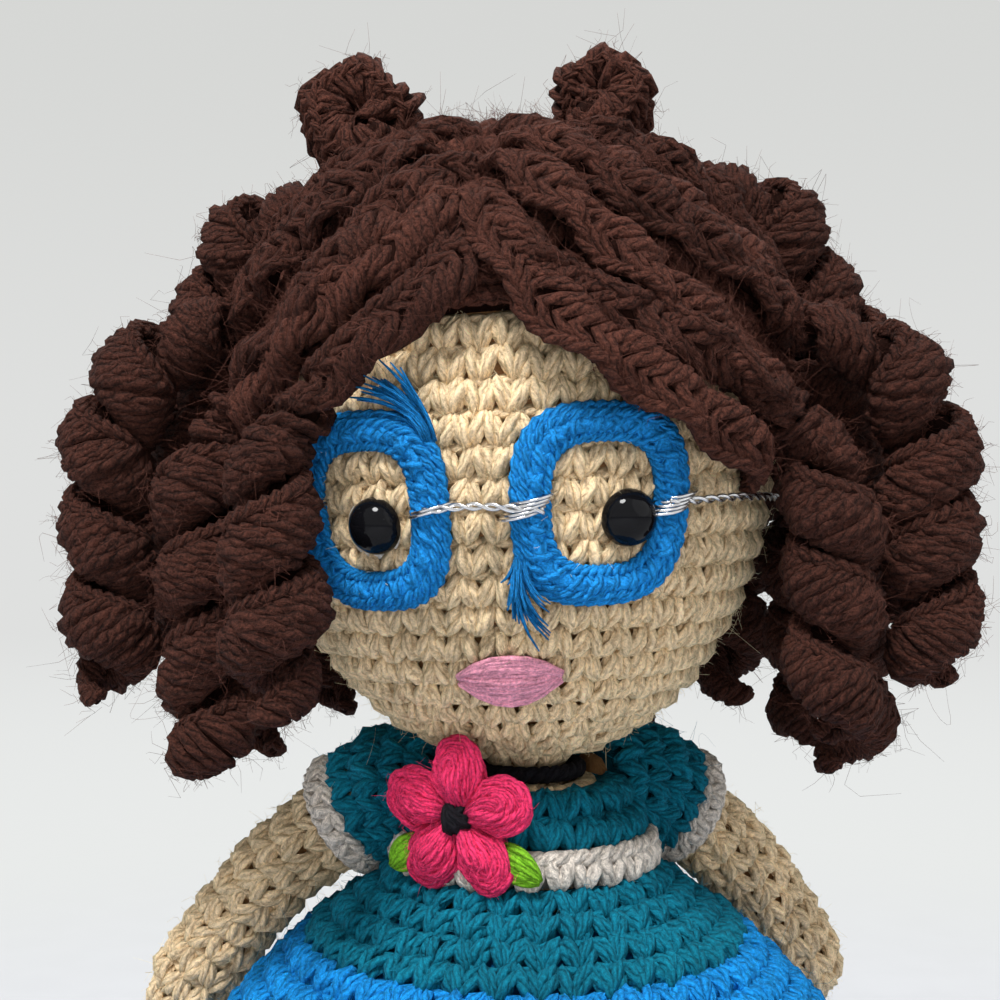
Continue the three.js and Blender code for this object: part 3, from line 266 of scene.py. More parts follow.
def tube_model(steps, sides):
    """A straight tube, pulled up from a flat ring a step at a time and closed at both ends."""
    if (steps, sides) in TUBES:
        return TUBES[steps, sides]
    fresh()
    bpy.ops.mesh.primitive_circle_add(vertices=sides, radius=1.0, fill_type="NGON", location=(0, 0, 0))
    tube = bpy.context.object
    edit(tube)
    for _ in range(steps - 1):
        bpy.ops.mesh.extrude_region_move(TRANSFORM_OT_translate={"value": (0.0, 0.0, 1.0)})
    bpy.ops.mesh.select_all(action="SELECT")
    bpy.ops.mesh.normals_make_consistent(inside=False)
    bpy.ops.object.mode_set(mode="OBJECT")
    mesh = tube.data
    corner = np.array([v.co[:] for v in mesh.vertices])
    level = np.rint(corner[:, 2]).astype(int)
    turn = np.arctan2(corner[:, 1], corner[:, 0]) % TURN
    sizes = np.array([len(p.vertices) for p in mesh.polygons])
    loops = np.concatenate([np.array(p.vertices) for p in mesh.polygons])
    around = turn[loops] / TURN
    starts = np.concatenate([[0], np.cumsum(sizes)[:-1]])
    for start, size in zip(starts, sizes):
        part = around[start : start + size]
        is_side = len(set(level[loops[start : start + size]])) > 1
        if is_side and part.max() - part.min() > 0.5:
            part[part < 0.5] += 1.0
    TUBES[steps, sides] = (level, turn, sizes, loops, around)
    bpy.data.objects.remove(tube)
    bpy.data.meshes.remove(mesh)
    return TUBES[steps, sides]


def section_axes(paths, guides):
    """The two axes of a tube's section along its path, the first one standing by the guide."""
    run = unit(np.gradient(paths, axis=1))
    first = unit(square_to(guides, run))
    return first, np.cross(run, first)


class Yarnwork:
    """The yarn of one piece: its corners and faces, their finish, and how far along the yarn they are."""

    ROOTS_PER_TUBE = 12
    ROOTS_ASTRAY = 0.5

    def __init__(self, seed):
        self.rng = np.random.default_rng(seed)
        self.points, self.loops, self.sizes, self.uvs, self.slots, self.tones = [], [], [], [], [], []
        self.roots, self.roots_outward = [], []
        self.count = 0

    def lay(self, paths, radii, guides, slot=0, sides=5, flat=1.0, fuzzy=True):
        """Lays a tube along each of the paths (paths, points, 3). A guide is how a section's first axis stands."""
        paths = np.asarray(paths, float)
        if paths.ndim == 2:
            paths, guides = paths[None], np.asarray(guides)[None]
        many, steps, _ = paths.shape
        radii = np.broadcast_to(radii, (many, steps))
        level, turn, sizes, loops, around = tube_model(steps, sides)
        first, second = section_axes(paths, np.broadcast_to(guides, paths.shape))
        c, s = np.cos(turn), np.sin(turn)
        outward = first[:, level] * c[None, :, None] + flat * second[:, level] * s[None, :, None]
        points = paths[:, level] + outward * radii[:, level][..., None]
        gaps = np.linalg.norm(np.diff(paths, axis=1), axis=-1)
        along = np.concatenate([np.zeros((many, 1)), gaps.cumsum(1)], axis=1)
        along = along + self.rng.uniform(0, 40, (many, 1))
        tones = self.rng.uniform(-1, 1, many)
        self.points.append(points.reshape(-1, 3))
        self.loops.append((self.count + np.arange(many)[:, None] * len(level) + loops[None]).ravel())
        self.sizes.append(np.tile(sizes, many))
        uv = np.stack([along[:, level[loops]], np.broadcast_to(around, (many, len(loops)))], -1)
        self.uvs.append(uv.reshape(-1, 2))
        self.slots.append(np.repeat(np.broadcast_to(slot, many), len(sizes)))
        self.tones.append(np.repeat(tones, len(level)))
        if fuzzy:
            facing = np.flatnonzero((c > 0.2) & (level > 0) & (level < steps - 1))
            number = many * self.ROOTS_PER_TUBE
            which, corner = self.rng.integers(0, many, number), self.rng.choice(facing, number)
            root, out = points[which, corner], unit(outward[which, corner])
            astray = self.rng.normal(0, self.ROOTS_ASTRAY, root.shape)
            self.roots.append(root + astray - (astray * out).sum(-1, keepdims=True) * out)
            self.roots_outward.append(out)
        self.count += many * len(level)

    def lay_plied(self, paths, radii, guides, slot=0, plies=3, splay=0.5, turns=0.34, **more):
        """Lays a bundle of loose plies along each path, a little turned round each other."""
        many, steps, _ = paths.shape
        radii = np.broadcast_to(radii, (many, steps))
        first, second = section_axes(paths, np.broadcast_to(guides, paths.shape))
        start = self.rng.uniform(0, TURN, (many, 1))
        for ply in range(plies):
            angle = start + TURN * (ply / plies + turns * np.linspace(0, 1, steps)[None])
            away = first * np.cos(angle)[..., None] + second * np.sin(angle)[..., None]
            loose = splay * self.rng.uniform(0.8, 1.2, (many, 1))
            self.lay(paths + away * (radii * loose)[..., None], radii * (1.04 - splay * 0.78), guides, slot, **more)

    def chain(self, phase, place_at, radius, **more):
        """Two plies that swing over each other along an edge. place_at takes a swing's cosine and sine."""
        for start in (0, math.pi):
            point, outward = place_at(np.cos(phase + start), np.sin(phase + start))
            self.lay(point, radius, outward, **more)

    def make(self, name, finishes):
        """The laid yarn as a mesh object."""
        points = np.concatenate(self.points) * METRE
        loops, sizes = np.concatenate(self.loops), np.concatenate(self.sizes)
        starts = np.concatenate([[0], np.cumsum(sizes)[:-1]])
        mesh = bpy.data.meshes.new(name)
        mesh.vertices.add(len(points))
        mesh.vertices.foreach_set("co", points.astype(np.float32).ravel())
        mesh.loops.add(len(loops))
        mesh.loops.foreach_set("vertex_index", loops.astype(np.int32))
        mesh.polygons.add(len(sizes))
        mesh.polygons.foreach_set("loop_start", starts.astype(np.int32))
        mesh.polygons.foreach_set("material_index", np.concatenate(self.slots).astype(np.int32))
        mesh.update(calc_edges=True)
        mesh.polygons.foreach_set("use_smooth", np.ones(len(sizes), bool))
        uvs = np.concatenate(self.uvs).astype(np.float32)
        mesh.uv_layers.new(name="yarn").data.foreach_set("uv", uvs.ravel())
        tones = np.concatenate(self.tones).astype(np.float32)
        mesh.attributes.new("tone", "FLOAT", "POINT").data.foreach_set("value", tones)
        for finish in finishes:
            mesh.materials.append(finish)
        obj = bpy.data.objects.new(name, mesh)
        bpy.context.collection.objects.link(obj)
        return obj


# The head's frame: places are measured from the point that it turns about

PIVOT_Z = 106.7
HEAD_RISE = 44.0
HEAD_RADIUS = 40.0
HEAD_HALF = 49.0
HEAD_LEAN = math.radians(-2.0)
HEAD_YAW = math.radians(-4.5)


def head_turn():
    c, s = math.cos(HEAD_LEAN), math.sin(HEAD_LEAN)
    tip = np.array([[c, 0, s], [0, 1, 0], [-s, 0, c]])
    c, s = math.cos(HEAD_YAW), math.sin(HEAD_YAW)
    return tip @ np.array([[c, -s, 0], [s, c, 0], [0, 0, 1]])


TO_DOLL = head_turn()


def turn_head(direction):
    return direction @ TO_DOLL.T


def at_head(point):
    return turn_head(np.asarray(point)) + [0, 0, PIVOT_Z]


def over_head(azimuth, z, lift=0.0):
    """A point over the head in its own frame, and its outward normal, by azimuth from the face's middle."""
    azimuth, z = np.broadcast_arrays(np.asarray(azimuth, float), np.asarray(z, float))
    r = HEAD_RADIUS * np.sqrt(np.maximum(0, 1 - (z / HEAD_HALF) ** 2))
    steep = r / HEAD_RADIUS**2
    outward = unit(np.stack([steep * np.sin(azimuth), -steep * np.cos(azimuth), z / HEAD_HALF**2], -1))
    point = np.stack([r * np.sin(azimuth), -r * np.cos(azimuth), z + HEAD_RISE], -1)
    return point + outward * np.asarray(lift)[..., None], outward


def on_head(azimuth, z, lift=0.0):
    """The same in the doll's frame."""
    point, outward = over_head(azimuth, z, lift)
    return at_head(point), turn_head(outward)


def head_radius_at(z):
    return HEAD_RADIUS * math.sqrt(1 - (z / HEAD_HALF) ** 2)


# Surfaces that are worked in rounds. Each gives points and outward normals at a run up it and a turn round it.


class Rounds:
    """A surface turned about an upright line, from an outline of (radius, height) that runs upwards."""

    SAMPLES = 300
    SOFTENING = 12

    def __init__(self, outline, centre=(0.0, 0.0), fold=None):
        outline = np.asarray(outline, float)
        knots = run_along(outline)
        soft = read_points(np.linspace(0, knots[-1], self.SAMPLES), knots, outline)
        for _ in range(self.SOFTENING):
            soft[1:-1] = (soft[:-2] + 2 * soft[1:-1] + soft[2:]) / 4
        self.outline, self.centre, self.fold = soft, np.array(centre), fold
        self.run = run_along(soft)
        self.slope = unit(np.gradient(soft, axis=0))
        self.end = self.run[-1]

    def radius(self, run):
        return np.interp(run, self.run, self.outline[:, 0])

    def at(self, run, turn):
        r, z = read(run, self.run, self.outline)
        dr, dz = read(run, self.run, self.slope)
        if self.fold:
            r = r + self.fold(z, turn)
        c, s = np.cos(turn), np.sin(turn)
        point = np.stack([r * c + self.centre[0], r * s + self.centre[1], z], -1)
        return point, np.stack([dz * c, dz * s, -dr], -1)


class HeadRounds:
    """The egg of the head or its cap, worked in rounds about a pole that may be tipped back."""

    def __init__(self, radius, half_height, tip=0.0):
        self.radius_across, self.half_height = radius, half_height
        self.tip = math.radians(tip)
        self.level = np.linspace(0, math.pi, 400)
        c, s = np.cos(self.level), np.sin(self.level)
        reach = 1 / np.sqrt((s / radius) ** 2 + (c / half_height) ** 2)
        meridian = np.stack([reach * s, -reach * c], 1)
        self.run = run_along(meridian)
        self.across = meridian[:, 0]
        self.end = self.run[-1]

    def radius(self, run):
        return np.interp(run, self.run, self.across)

    def at(self, run, turn):
        level = np.interp(run, self.run, self.level)
        x, y, z = np.sin(level) * np.cos(turn), np.sin(level) * np.sin(turn), -np.cos(level)
        c, s = math.cos(self.tip), math.sin(self.tip)
        y, z = c * y + s * z, -s * y + c * z
        across, up = self.radius_across**2, self.half_height**2
        local = np.stack([x, y, z], -1) * (1 / np.sqrt((x**2 + y**2) / across + z**2 / up))[..., None]
        return at_head(local + [0, 0, HEAD_RISE]), turn_head(unit(local / np.array([across, across, up])))


class LimbRounds:
    """A limb worked in rounds along a line, with a radius at each point of the line."""

    def __init__(self, line, radii, cross=(0.0, 1.0, 0.0)):
        self.line, self.radii, self.cross = line, radii, np.array(cross)
        steps = np.hypot(np.linalg.norm(np.diff(line, axis=0), axis=1), np.diff(radii))
        self.run = np.concatenate([[0], steps.cumsum()])
        ahead = np.gradient(line, axis=0)
        self.ahead = unit(ahead)
        swell = np.gradient(radii) / np.maximum(np.linalg.norm(ahead, axis=1), 1e-6)
        self.lean = unit(np.stack([np.ones_like(swell), swell], 1))
        self.end = self.run[-1]

    def radius(self, run):
        return np.interp(run, self.run, self.radii)

    def at(self, run, turn):
        centre, ahead, lean = (read_points(run, self.run, t) for t in (self.line, self.ahead, self.lean))
        ahead = unit(ahead)
        aside = unit(np.cross(self.cross, ahead))
        out = np.cos(turn)[..., None] * aside + np.sin(turn)[..., None] * np.cross(ahead, aside)
        point = centre + out * self.radius(run)[..., None]
        return point, unit(out * lean[..., :1] - ahead * lean[..., 1:])


class ShoeRounds:
    """A little shoe, worked up from an oval sole to the ankle."""

    # Rows of (share of the sole's size, height), and how far the wall leans outwards at each
    OUTLINE = np.array([(0.62, 3.2), (0.86, 3.3), (0.96, 4.6), (0.98, 6.8), (0.9, 9.2), (0.72, 11.2), (0.6, 12.4)])
    LEAN = [-0.16, -0.1, -0.03, 0.02, 0.07, 0.12, 0.14]
    HALF_WIDE, HALF_LONG, TOE = 6.7, 7.2, 3.4

    def __init__(self, x):
        self.run = run_along(self.OUTLINE * [9.0, 1.0])
        self.x, self.end = x, self.run[-1]

    def radius(self, run):
        return np.interp(run, self.run, self.OUTLINE[:, 0]) * 8.8

    def at(self, run, turn):
        grow, z = read(run, self.run, self.OUTLINE)
        c, s = np.cos(turn), np.sin(turn)
        toe = smooth((12 - z) / 9)
        long = self.HALF_LONG + self.TOE * toe
        point = np.stack([self.x + grow * self.HALF_WIDE * c, grow * long * s - 3.0 * toe, z], -1)
        return point, unit(np.stack([c / self.HALF_WIDE, s / long, np.interp(run, self.run, self.LEAN)], -1))


# The legs of one stitch: across and up as shares of its size, outwards in millimetres, and the yarn's radius
STITCH_LEG = np.array([
    [0.04, -0.53, -1.3, 0.78],
    [0.09, -0.36, 0.05, 1.12],
    [0.18, -0.12, 0.80, 1.34],
    [0.29, 0.13, 0.92, 1.42],
    [0.38, 0.35, 0.42, 1.28],
    [0.42, 0.52, -1.0, 0.94],
])
# The bar behind them, as shares across and up, and its radius
BAR_ACROSS, BAR_UP = np.array([-0.66, 0.0, 0.66]), 0.5 + np.array([-0.04, 0.04, -0.04])
BAR_RADIUS, BAR_DEPTH = 1.2, 0.5
# The stitch width that the radii are for
USUAL_WIDTH = 4.6


def crochet(work, rounds, first, last, width, height, slot_at=None, keep=None, drift=0.34, lift=0.0, fat=1.0, plies=1):
    """Works rows of stitches up a surface. slot_at gives the finish of a row, and keep which stitches are made."""
    rows = max(1, round((last - first) / height))
    tall = (last - first) / rows
    runs, turns, spans, slots = [], [], [], []
    for row in range(rows):
        run = first + (row + 0.5) * tall
        count = max(5, round(TURN * float(rounds.radius(run)) / width))
        turns.append(TURN * (np.arange(count) + drift * row) / count)
        runs.append(np.full(count, run))
        spans.append(np.full(count, TURN / count))
        slots.append(np.full(count, slot_at(row, rows) if slot_at else 0))
    runs, turns, spans, slots = (np.concatenate(x) for x in (runs, turns, spans, slots))
    if keep is not None:
        held = keep(rounds.at(runs, turns)[0])
        runs, turns, spans, slots = runs[held], turns[held], spans[held], slots[held]

    def uneven(spread, legs=1):
        return work.rng.uniform(-spread, spread, (len(runs), legs, 1))

    leg = np.stack([STITCH_LEG * [side, 1, 1, 1] for side in (-1, 1)])[None]
    up = runs[:, None, None] + (leg[..., 1] * (1 + uneven(0.06)) + uneven(0.07, 2)) * tall
    sway = leg[..., 0] * (1 + uneven(0.12)) + uneven(0.06) + (0.1 + uneven(0.12, 2)) * leg[..., 1]
    point, outward = rounds.at(up, turns[:, None, None] + sway * spans[:, None, None])
    point = point + outward * (leg[..., 2] * (1 + uneven(0.22)) + lift)[..., None]
    wide = np.clip((rounds.radius(runs) * spans / USUAL_WIDTH)[:, None, None], 0.6, 1.3)
    radii = leg[..., 3] * wide * (1 + uneven(0.12, 2)) * fat
    steps = leg.shape[2]
    legs = (point.reshape(-1, steps, 3), radii.reshape(-1, steps), outward.reshape(-1, steps, 3))
    up = runs[:, None] + (BAR_UP + uneven(0.05)[..., 0]) * tall
    point, outward = rounds.at(up, turns[:, None] + BAR_ACROSS * spans[:, None])
    bars = point + outward * (lift - BAR_DEPTH)
    work.lay(bars, BAR_RADIUS * wide[:, 0] * fat, outward, slots, sides=4, fuzzy=False)
    if plies > 1:
        work.lay_plied(*legs, np.repeat(slots, 2), plies=plies, sides=4)
    else:
        work.lay(*legs, np.repeat(slots, 2))


def lining(name, outline, finish, segments=40, fold=None, centre=(0.0, 0.0)):
    """The inside of the work in its finish, which for the linings is painted shade: a ring pulled up along an outline
    of (radius, height) with extrude and resize.
    """
    fresh()
    (radius, z), rest = outline[0], outline[1:]
    bpy.ops.mesh.primitive_circle_add(
        vertices=segments, radius=radius * METRE, fill_type="NOTHING", location=(0, 0, z * METRE)
    )
    obj = bpy.context.object
    obj.name = obj.data.name = name
    settle(obj)
    edit(obj)
    for wide, high in rest:
        bpy.ops.mesh.extrude_region_move(TRANSFORM_OT_translate={"value": (0, 0, (high - z) * METRE)})
        grow = max(wide, 0.01) / max(radius, 0.01)
        bpy.ops.transform.resize(value=(grow, grow, 1), center_override=(0, 0, high * METRE))
        radius, z = max(wide, 0.01), high
    bpy.ops.mesh.select_all(action="SELECT")
    bpy.ops.mesh.remove_doubles(threshold=0.00003)
    bpy.ops.mesh.normals_make_consistent(inside=False)
    bpy.ops.object.mode_set(mode="OBJECT")

    def stand(x, y, z):
        grow = 1 + (fold(z, math.atan2(y, x)) if fold else 0.0) / max(math.hypot(x, y), 0.01)
        return x * grow + centre[0], y * grow + centre[1], z

    reshape(obj, stand)
    obj.data.materials.append(finish)
    obj.data.shade_smooth()
    return obj


def egg_lining(name, inset, finish, cut_plane=None):
    """A smooth egg that lies inside the head's surface by the inset, cut by a plane where one is given."""
    across = HEAD_RADIUS - inset
    obj = ball(name, (across, across, HEAD_HALF - inset), 48, 28, (0, 0, HEAD_RISE))
    if cut_plane is not None:
        edit(obj)
        spot, normal = cut_plane
        bpy.ops.mesh.bisect(
            plane_co=tuple(np.array(spot) * METRE), plane_no=normal, clear_inner=True, use_fill=True
        )
        bpy.ops.object.mode_set(mode="OBJECT")
    reshape(obj, lambda *point: at_head(point))
    obj.data.materials.append(finish)
    obj.data.shade_smooth()
    return obj


def worked_round(seed, name, outline, size, finish, body, node, slot, inside, first=0, short=0, centre=(0.0, 0.0),
                 segments=40, fill=None, edging=None, **how):
    """A piece crocheted up an outline over a lining. inside is the lining's name, finish and outline."""
    work = Yarnwork(seed)
    rounds = Rounds(outline, centre)
    crochet(work, rounds, first, rounds.end - short, *size, **how)
    if edging is not None:
        edging(work)
    inner_name, inner_finish, inner = inside
    hand_over(work, name, [yarn(finish)], body, node, slot,
              inside=lambda: lining(inner_name, inner, felted(inner_finish), segments, centre=centre))


# Materials

MADE = {}


def once(make):
    """Gives back what was made before where the same name is asked for again."""

    def ask(name, *more):
        if name not in MADE:
            MADE[name] = make(name, *more)
        return MADE[name]

    return ask


class Nodes:
    """Short calls for adding and joining shader nodes."""

    def __init__(self, tree):
        self.tree = tree

    def add(self, kind, **settings):
        node = self.tree.nodes.new(kind)
        for key, value in settings.items():
            setattr(node, key, value)
        return node

    def first(self, kind):
        return next(n for n in self.tree.nodes if n.type == kind)

    def feed(self, node, values):
        """Joins or sets a node's inputs, from a list in their order or a dict by their names."""
        for key, value in values.items() if isinstance(values, dict) else enumerate(values):
            if isinstance(value, bpy.types.NodeSocket):
                self.tree.links.new(value, node.inputs[key])
            else:
                node.inputs[key].default_value = value
        return node

    def maths(self, operation, *values):
        return self.feed(self.add("ShaderNodeMath", operation=operation), values).outputs[0]

    def plus(self, a, b):
        return self.maths("ADD", a, b)

    def times(self, a, b):
        return self.maths("MULTIPLY", a, b)

    def span(self, value, low, high, to_low, to_high):
        node = self.add("ShaderNodeMapRange", interpolation_type="SMOOTHSTEP")
        return self.feed(node, (value, low, high, to_low, to_high)).outputs[0]

    def noise(self, vector, scale, detail=2.0, roughness=0.5):
        inputs = {"Vector": vector, "Scale": scale, "Detail": detail, "Roughness": roughness}
        return self.feed(self.add("ShaderNodeTexNoise"), inputs).outputs["Fac"]

    def blend(self, share, a, b, kind="MIX"):
        node = self.add("ShaderNodeMix", data_type="RGBA", blend_type=kind)
        return self.feed(node, {0: share, 6: a, 7: b}).outputs[2]

    def shaded(self, colour, level):
        """A colour times a grey level."""
        grey = self.feed(self.add("ShaderNodeCombineColor"), (level, level, level)).outputs[0]
        return self.blend(1.0, colour, grey, "MULTIPLY")

    def vector(self, x, y, z):
        return self.feed(self.add("ShaderNodeCombineXYZ"), (x, y, z)).outputs[0]

    def spot(self):
        """The place on the doll."""
        return self.add("ShaderNodeTexCoord").outputs["Object"]

    def yarn_run(self):
        """How far along the yarn, and which share of the way round it."""
        uv = self.add("ShaderNodeUVMap", uv_map="yarn").outputs[0]
        where = self.feed(self.add("ShaderNodeSeparateXYZ"), (uv,))
        return where.outputs[0], where.outputs[1]


def make_group(name, inputs, outputs):
    group = bpy.data.node_groups.new(name, "ShaderNodeTree")
    for label, default in inputs:
        kind = "NodeSocketColor" if isinstance(default, tuple) else "NodeSocketFloat"
        group.interface.new_socket(name=label, in_out="INPUT", socket_type=kind).default_value = default
    for label in outputs:
        kind = "NodeSocketColor" if label == "Colour" else "NodeSocketFloat"
        group.interface.new_socket(name=label, in_out="OUTPUT", socket_type=kind)
    nodes = Nodes(group)
    return group, nodes, nodes.add("NodeGroupInput").outputs, nodes.add("NodeGroupOutput")


@once
def lint_group(name):
    """Uneven dye and specks of lint, by place on the doll."""
    group, nodes, given, out = make_group(name, [("Colour", (0.5, 0.5, 0.5, 1)), ("Amount", 0.3)], ["Colour", "Height"])
    spot = nodes.spot()
    broad = nodes.noise(spot, 70.0, 2.0)
    fine = nodes.noise(spot, 1900.0, 3.0, 0.65)
    shade = nodes.plus(nodes.span(broad, 0.3, 0.7, 0.84, 1.12), nodes.span(fine, 0.3, 0.75, -0.16, 0.2))
    tinted = nodes.blend(given["Amount"], given["Colour"], nodes.shaded(given["Colour"], shade))
    nodes.feed(out, {"Colour": tinted, "Height": fine})
    return group


@once
def yarn_group(name):
    """Plies that wind round the yarn, the fibres along them, and painted shade between them."""
    inputs = [("Colour", (0.5, 0.5, 0.5, 1)), ("Shade", (0.1, 0.1, 0.1, 1)), ("Plies", 4.0), ("Twist", 3.0),
              ("Depth", 0.75), ("Matting", 0.5)]
    group, nodes, given, out = make_group(name, inputs, ["Colour", "Roughness", "Height"])
    plus, times, span, noise = nodes.plus, nodes.times, nodes.span, nodes.noise
    run, around = nodes.yarn_run()
    tone = nodes.add("ShaderNodeAttribute", attribute_name="tone").outputs["Fac"]
    spot = nodes.spot()

    strayed = times(nodes.maths("SUBTRACT", noise(spot, 420.0, 2.0), 0.5), 1.5)
    wound = plus(nodes.maths("DIVIDE", run, given["Twist"]), strayed)
    phase = plus(times(around, given["Plies"]), wound)
    ply = nodes.maths("ABSOLUTE", nodes.maths("SINE", times(phase, math.pi)))
    fibre = noise(nodes.vector(times(run, 0.55), times(phase, 3.6), tone), 2.4, 4.0, 0.66)

    # Painted shade: the Shade colour is blended in where the plies part, more or less by a noise, and a little more
    # along the darker fibre streaks.
    matted = span(noise(spot, 700.0, 3.0, 0.6), 0.34, 0.6, 0.25, 1.0)
    ply_gap_shade = times(span(ply, 0.0, 0.55, 1.0, 0.0), matted)
    dark = times(plus(times(ply_gap_shade, 0.75), span(fibre, 0.3, 0.52, 0.34, 0.0)), given["Depth"])
    lit = nodes.blend(dark, given["Colour"], given["Shade"])

    speckle = nodes.maths("SUBTRACT", noise(spot, 2300.0, 3.0, 0.7), 0.5)
    level = plus(span(fibre, 0.35, 0.75, 0.84, 1.26), times(tone, 0.1))
    level = plus(level, times(times(speckle, 4.2), given["Matting"]))
    # Painted highlight and shade on each ply: lighter along its crown, darker towards its sides.
    level = nodes.maths("MAXIMUM", plus(level, span(ply, 0.5, 1.0, -0.06, 0.12)), 0.12)
    lint = nodes.add("ShaderNodeGroup", node_tree=lint_group("Lint"))
    nodes.feed(lint, {"Colour": nodes.shaded(lit, level), "Amount": 0.8})

    relief = plus(times(ply, 0.8), times(fibre, 0.5))
    nodes.feed(out, {
        "Colour": lint.outputs["Colour"],
        "Roughness": span(fibre, 0.2, 0.8, 0.95, 0.72),
        "Height": plus(relief, times(speckle, times(given["Matting"], 1.3))),
    })
    return group


def new_finish(name):
    material = bpy.data.materials.new(name)
    material.use_nodes = True
    nodes = Nodes(material.node_tree)
    return material, nodes, nodes.first("BSDF_PRINCIPLED")


def bump(nodes, height, distance):
    inputs = {"Distance": distance * METRE, "Strength": 1.0, "Height": height}
    return nodes.feed(nodes.add("ShaderNodeBump"), inputs).outputs[0]


# Each yarn's colour, the painted shade between its plies as a share of it or a colour of its own, and other settings
YARNS = {
    "Skin yarn": ("skin", "skin_shade", {"plies": 3.0, "depth": 0.62, "relief": 0.25, "sheen": 0.35, "matting": 0.3}),
    "Hair yarn": ("hair", "hair_shade", {"depth": 1.0, "relief": 0.65, "sheen": 0.4, "matting": 0.95}),
    # The hair yarn where it hangs, darkened as painted shade, since the hanging curls catch less light
    "Curl yarn": ("hair", "hair_shade", {"dim": 0.72, "depth": 1.0, "relief": 0.65, "sheen": 0.3, "matting": 0.95}),
    "Spectacle yarn": ("spectacles", 0.22, {}),
    "Teal yarn": ("yoke", 0.22, {}),
    "Azure yarn": ("flare", 0.22, {}),
    "Cream yarn": ("trim", 0.42, {}),
    "Black yarn": ("dark", (6, 6, 8), {}),
    "Pink yarn": ("flower", 0.4, {"depth": 0.6}),
    "Green yarn": ("leaf", 0.22, {}),
    "Rose floss": ("mouth", 0.22, {"plies": 2.0, "depth": 0.5, "relief": 0.15, "sheen": 0.5}),
}
# Each matted finish's colour, how much of it is left, and its relief. The linings stand for the inside of the work seen
# in its pits, darkened as painted shade.
FELTS = {
    "Skin lining": ("skin_shade", 1.0, 0.3),
    "Hair lining": ("hair", 0.18, 0.8),
    "Teal lining": ("yoke", 0.25, 0.3),
    "Skirt lining": ("flare", 0.35, 0.3),
    "Cream lining": ("trim", 0.4, 0.3),
    "Black lining": ((10, 10, 12), 1.0, 0.3),
    "Stuffing": ((238, 236, 230), 1.0, 1.2),
    "White felt": ((232, 230, 226), 1.0, 0.3),
}


def colour_of(source, share=1.0):
    """A colour of the doll's by its name, or one as screens show it, dimmed to a share."""
    given = getattr(bpy.context.scene.doll_colours, source) if isinstance(source, str) else paint(*source)
    return tuple(x * share for x in given)


@once
def yarn(name):
    """A matt plied yarn."""
    source, between, own = YARNS[name]
    look = {"dim": 1.0, "plies": 4.0, "depth": 0.75, "relief": 0.42, "sheen": 0.25, "matting": 0.4, **own}
    colour = colour_of(source, look["dim"])
    shade = tuple(x * between for x in colour) if isinstance(between, float) else colour_of(between)
    material, nodes, shader = new_finish(name)
    plied = nodes.add("ShaderNodeGroup", node_tree=yarn_group("Plied yarn"))
    nodes.feed(plied, {
        "Colour": (*colour, 1),
        "Shade": (*shade, 1),
        "Plies": look["plies"],
        "Twist": mm(bpy.context.scene.doll_stitches.ply_twist) / look["plies"],
        "Depth": look["depth"],
        "Matting": look["matting"],
    })
    nodes.feed(shader, {
        "Base Color": plied.outputs["Colour"],
        "Roughness": plied.outputs["Roughness"],
        "Specular IOR Level": 0.12,
        "Sheen Weight": look["sheen"],
        "Sheen Roughness": 0.45,
        "Sheen Tint": (*(min(1, x * 1.6 + 0.03) for x in colour), 1),
        "Normal": bump(nodes, plied.outputs["Height"], look["relief"]),
    })
    return material


@once
def matted(name, colour, relief):
    """Matted fibres, for the linings in painted shade, stuffing, felt and stray hairs."""
    material, nodes, shader = new_finish(name)
    lint = nodes.add("ShaderNodeGroup", node_tree=lint_group("Lint"))
    nodes.feed(lint, {"Colour": (*colour, 1), "Amount": 1.0})
    nodes.feed(shader, {"Base Color": lint.outputs["Colour"], "Roughness": 0.92, "Specular IOR Level": 0.06})
    if relief:
        nodes.feed(shader, {"Normal": bump(nodes, lint.outputs["Height"], relief)})
    return material


def felted(name):
    source, share, relief = FELTS[name]
    return matted(name, colour_of(source, share), relief)


def two_tone(name, pattern_of, spread, colours, rough, own, relief=0):
    """A finish whose colour and roughness both follow one pattern."""
    material, nodes, shader = new_finish(name)
    pattern = pattern_of(nodes)
    dark, light = ((*colour, 1) for colour in colours)
    base = nodes.blend(nodes.span(pattern, *spread), dark, light)
    nodes.feed(shader, {"Base Color": base, "Roughness": nodes.span(pattern, *rough), **own})
    if relief:
        nodes.feed(shader, {"Normal": bump(nodes, pattern, relief)})
    return material


EVEN = (0.3, 0.7, 0.0, 1.0)


@once
def glossy_plastic(name):
    """Black moulded plastic with a deep shine and faint dust."""
    return two_tone(name, lambda nodes: nodes.noise(nodes.spot(), 1400.0, 4.0, 0.7), (0.66, 0.8, 0.0, 0.12),
                    ((0.004, 0.004, 0.005), (0.2, 0.2, 0.2)), (0.6, 0.85, 0.05, 0.3), {"Specular IOR Level": 0.15})


@once
def bright_wire(name):
    """Thin drawn wire with fine scratches along it."""

    def scratch(nodes):
        run, around = nodes.yarn_run()
        return nodes.noise(nodes.vector(nodes.times(run, 0.3), nodes.times(around, 14.0), 0.0), 2.0, 3.0, 0.6)

    return two_tone(name, scratch, EVEN, ((0.5, 0.5, 0.51), (0.86, 0.86, 0.86)), (0.3, 0.8, 0.16, 0.38),
                    {"Metallic": 1.0})


@once
def plain_wood(name):
    """Birch dowel: fine grain along its length."""

    def grain(nodes):
        drawn = nodes.feed(nodes.add("ShaderNodeMapping"), {"Vector": nodes.spot(), "Scale": (1.0, 1.0, 0.06)})
        return nodes.noise(drawn.outputs[0], 1500.0, 4.0, 0.6)

    return two_tone(name, grain, EVEN, (paint(158, 116, 70), paint(214, 176, 124)), (0.3, 0.8, 0.75, 0.55), {}, 0.1)


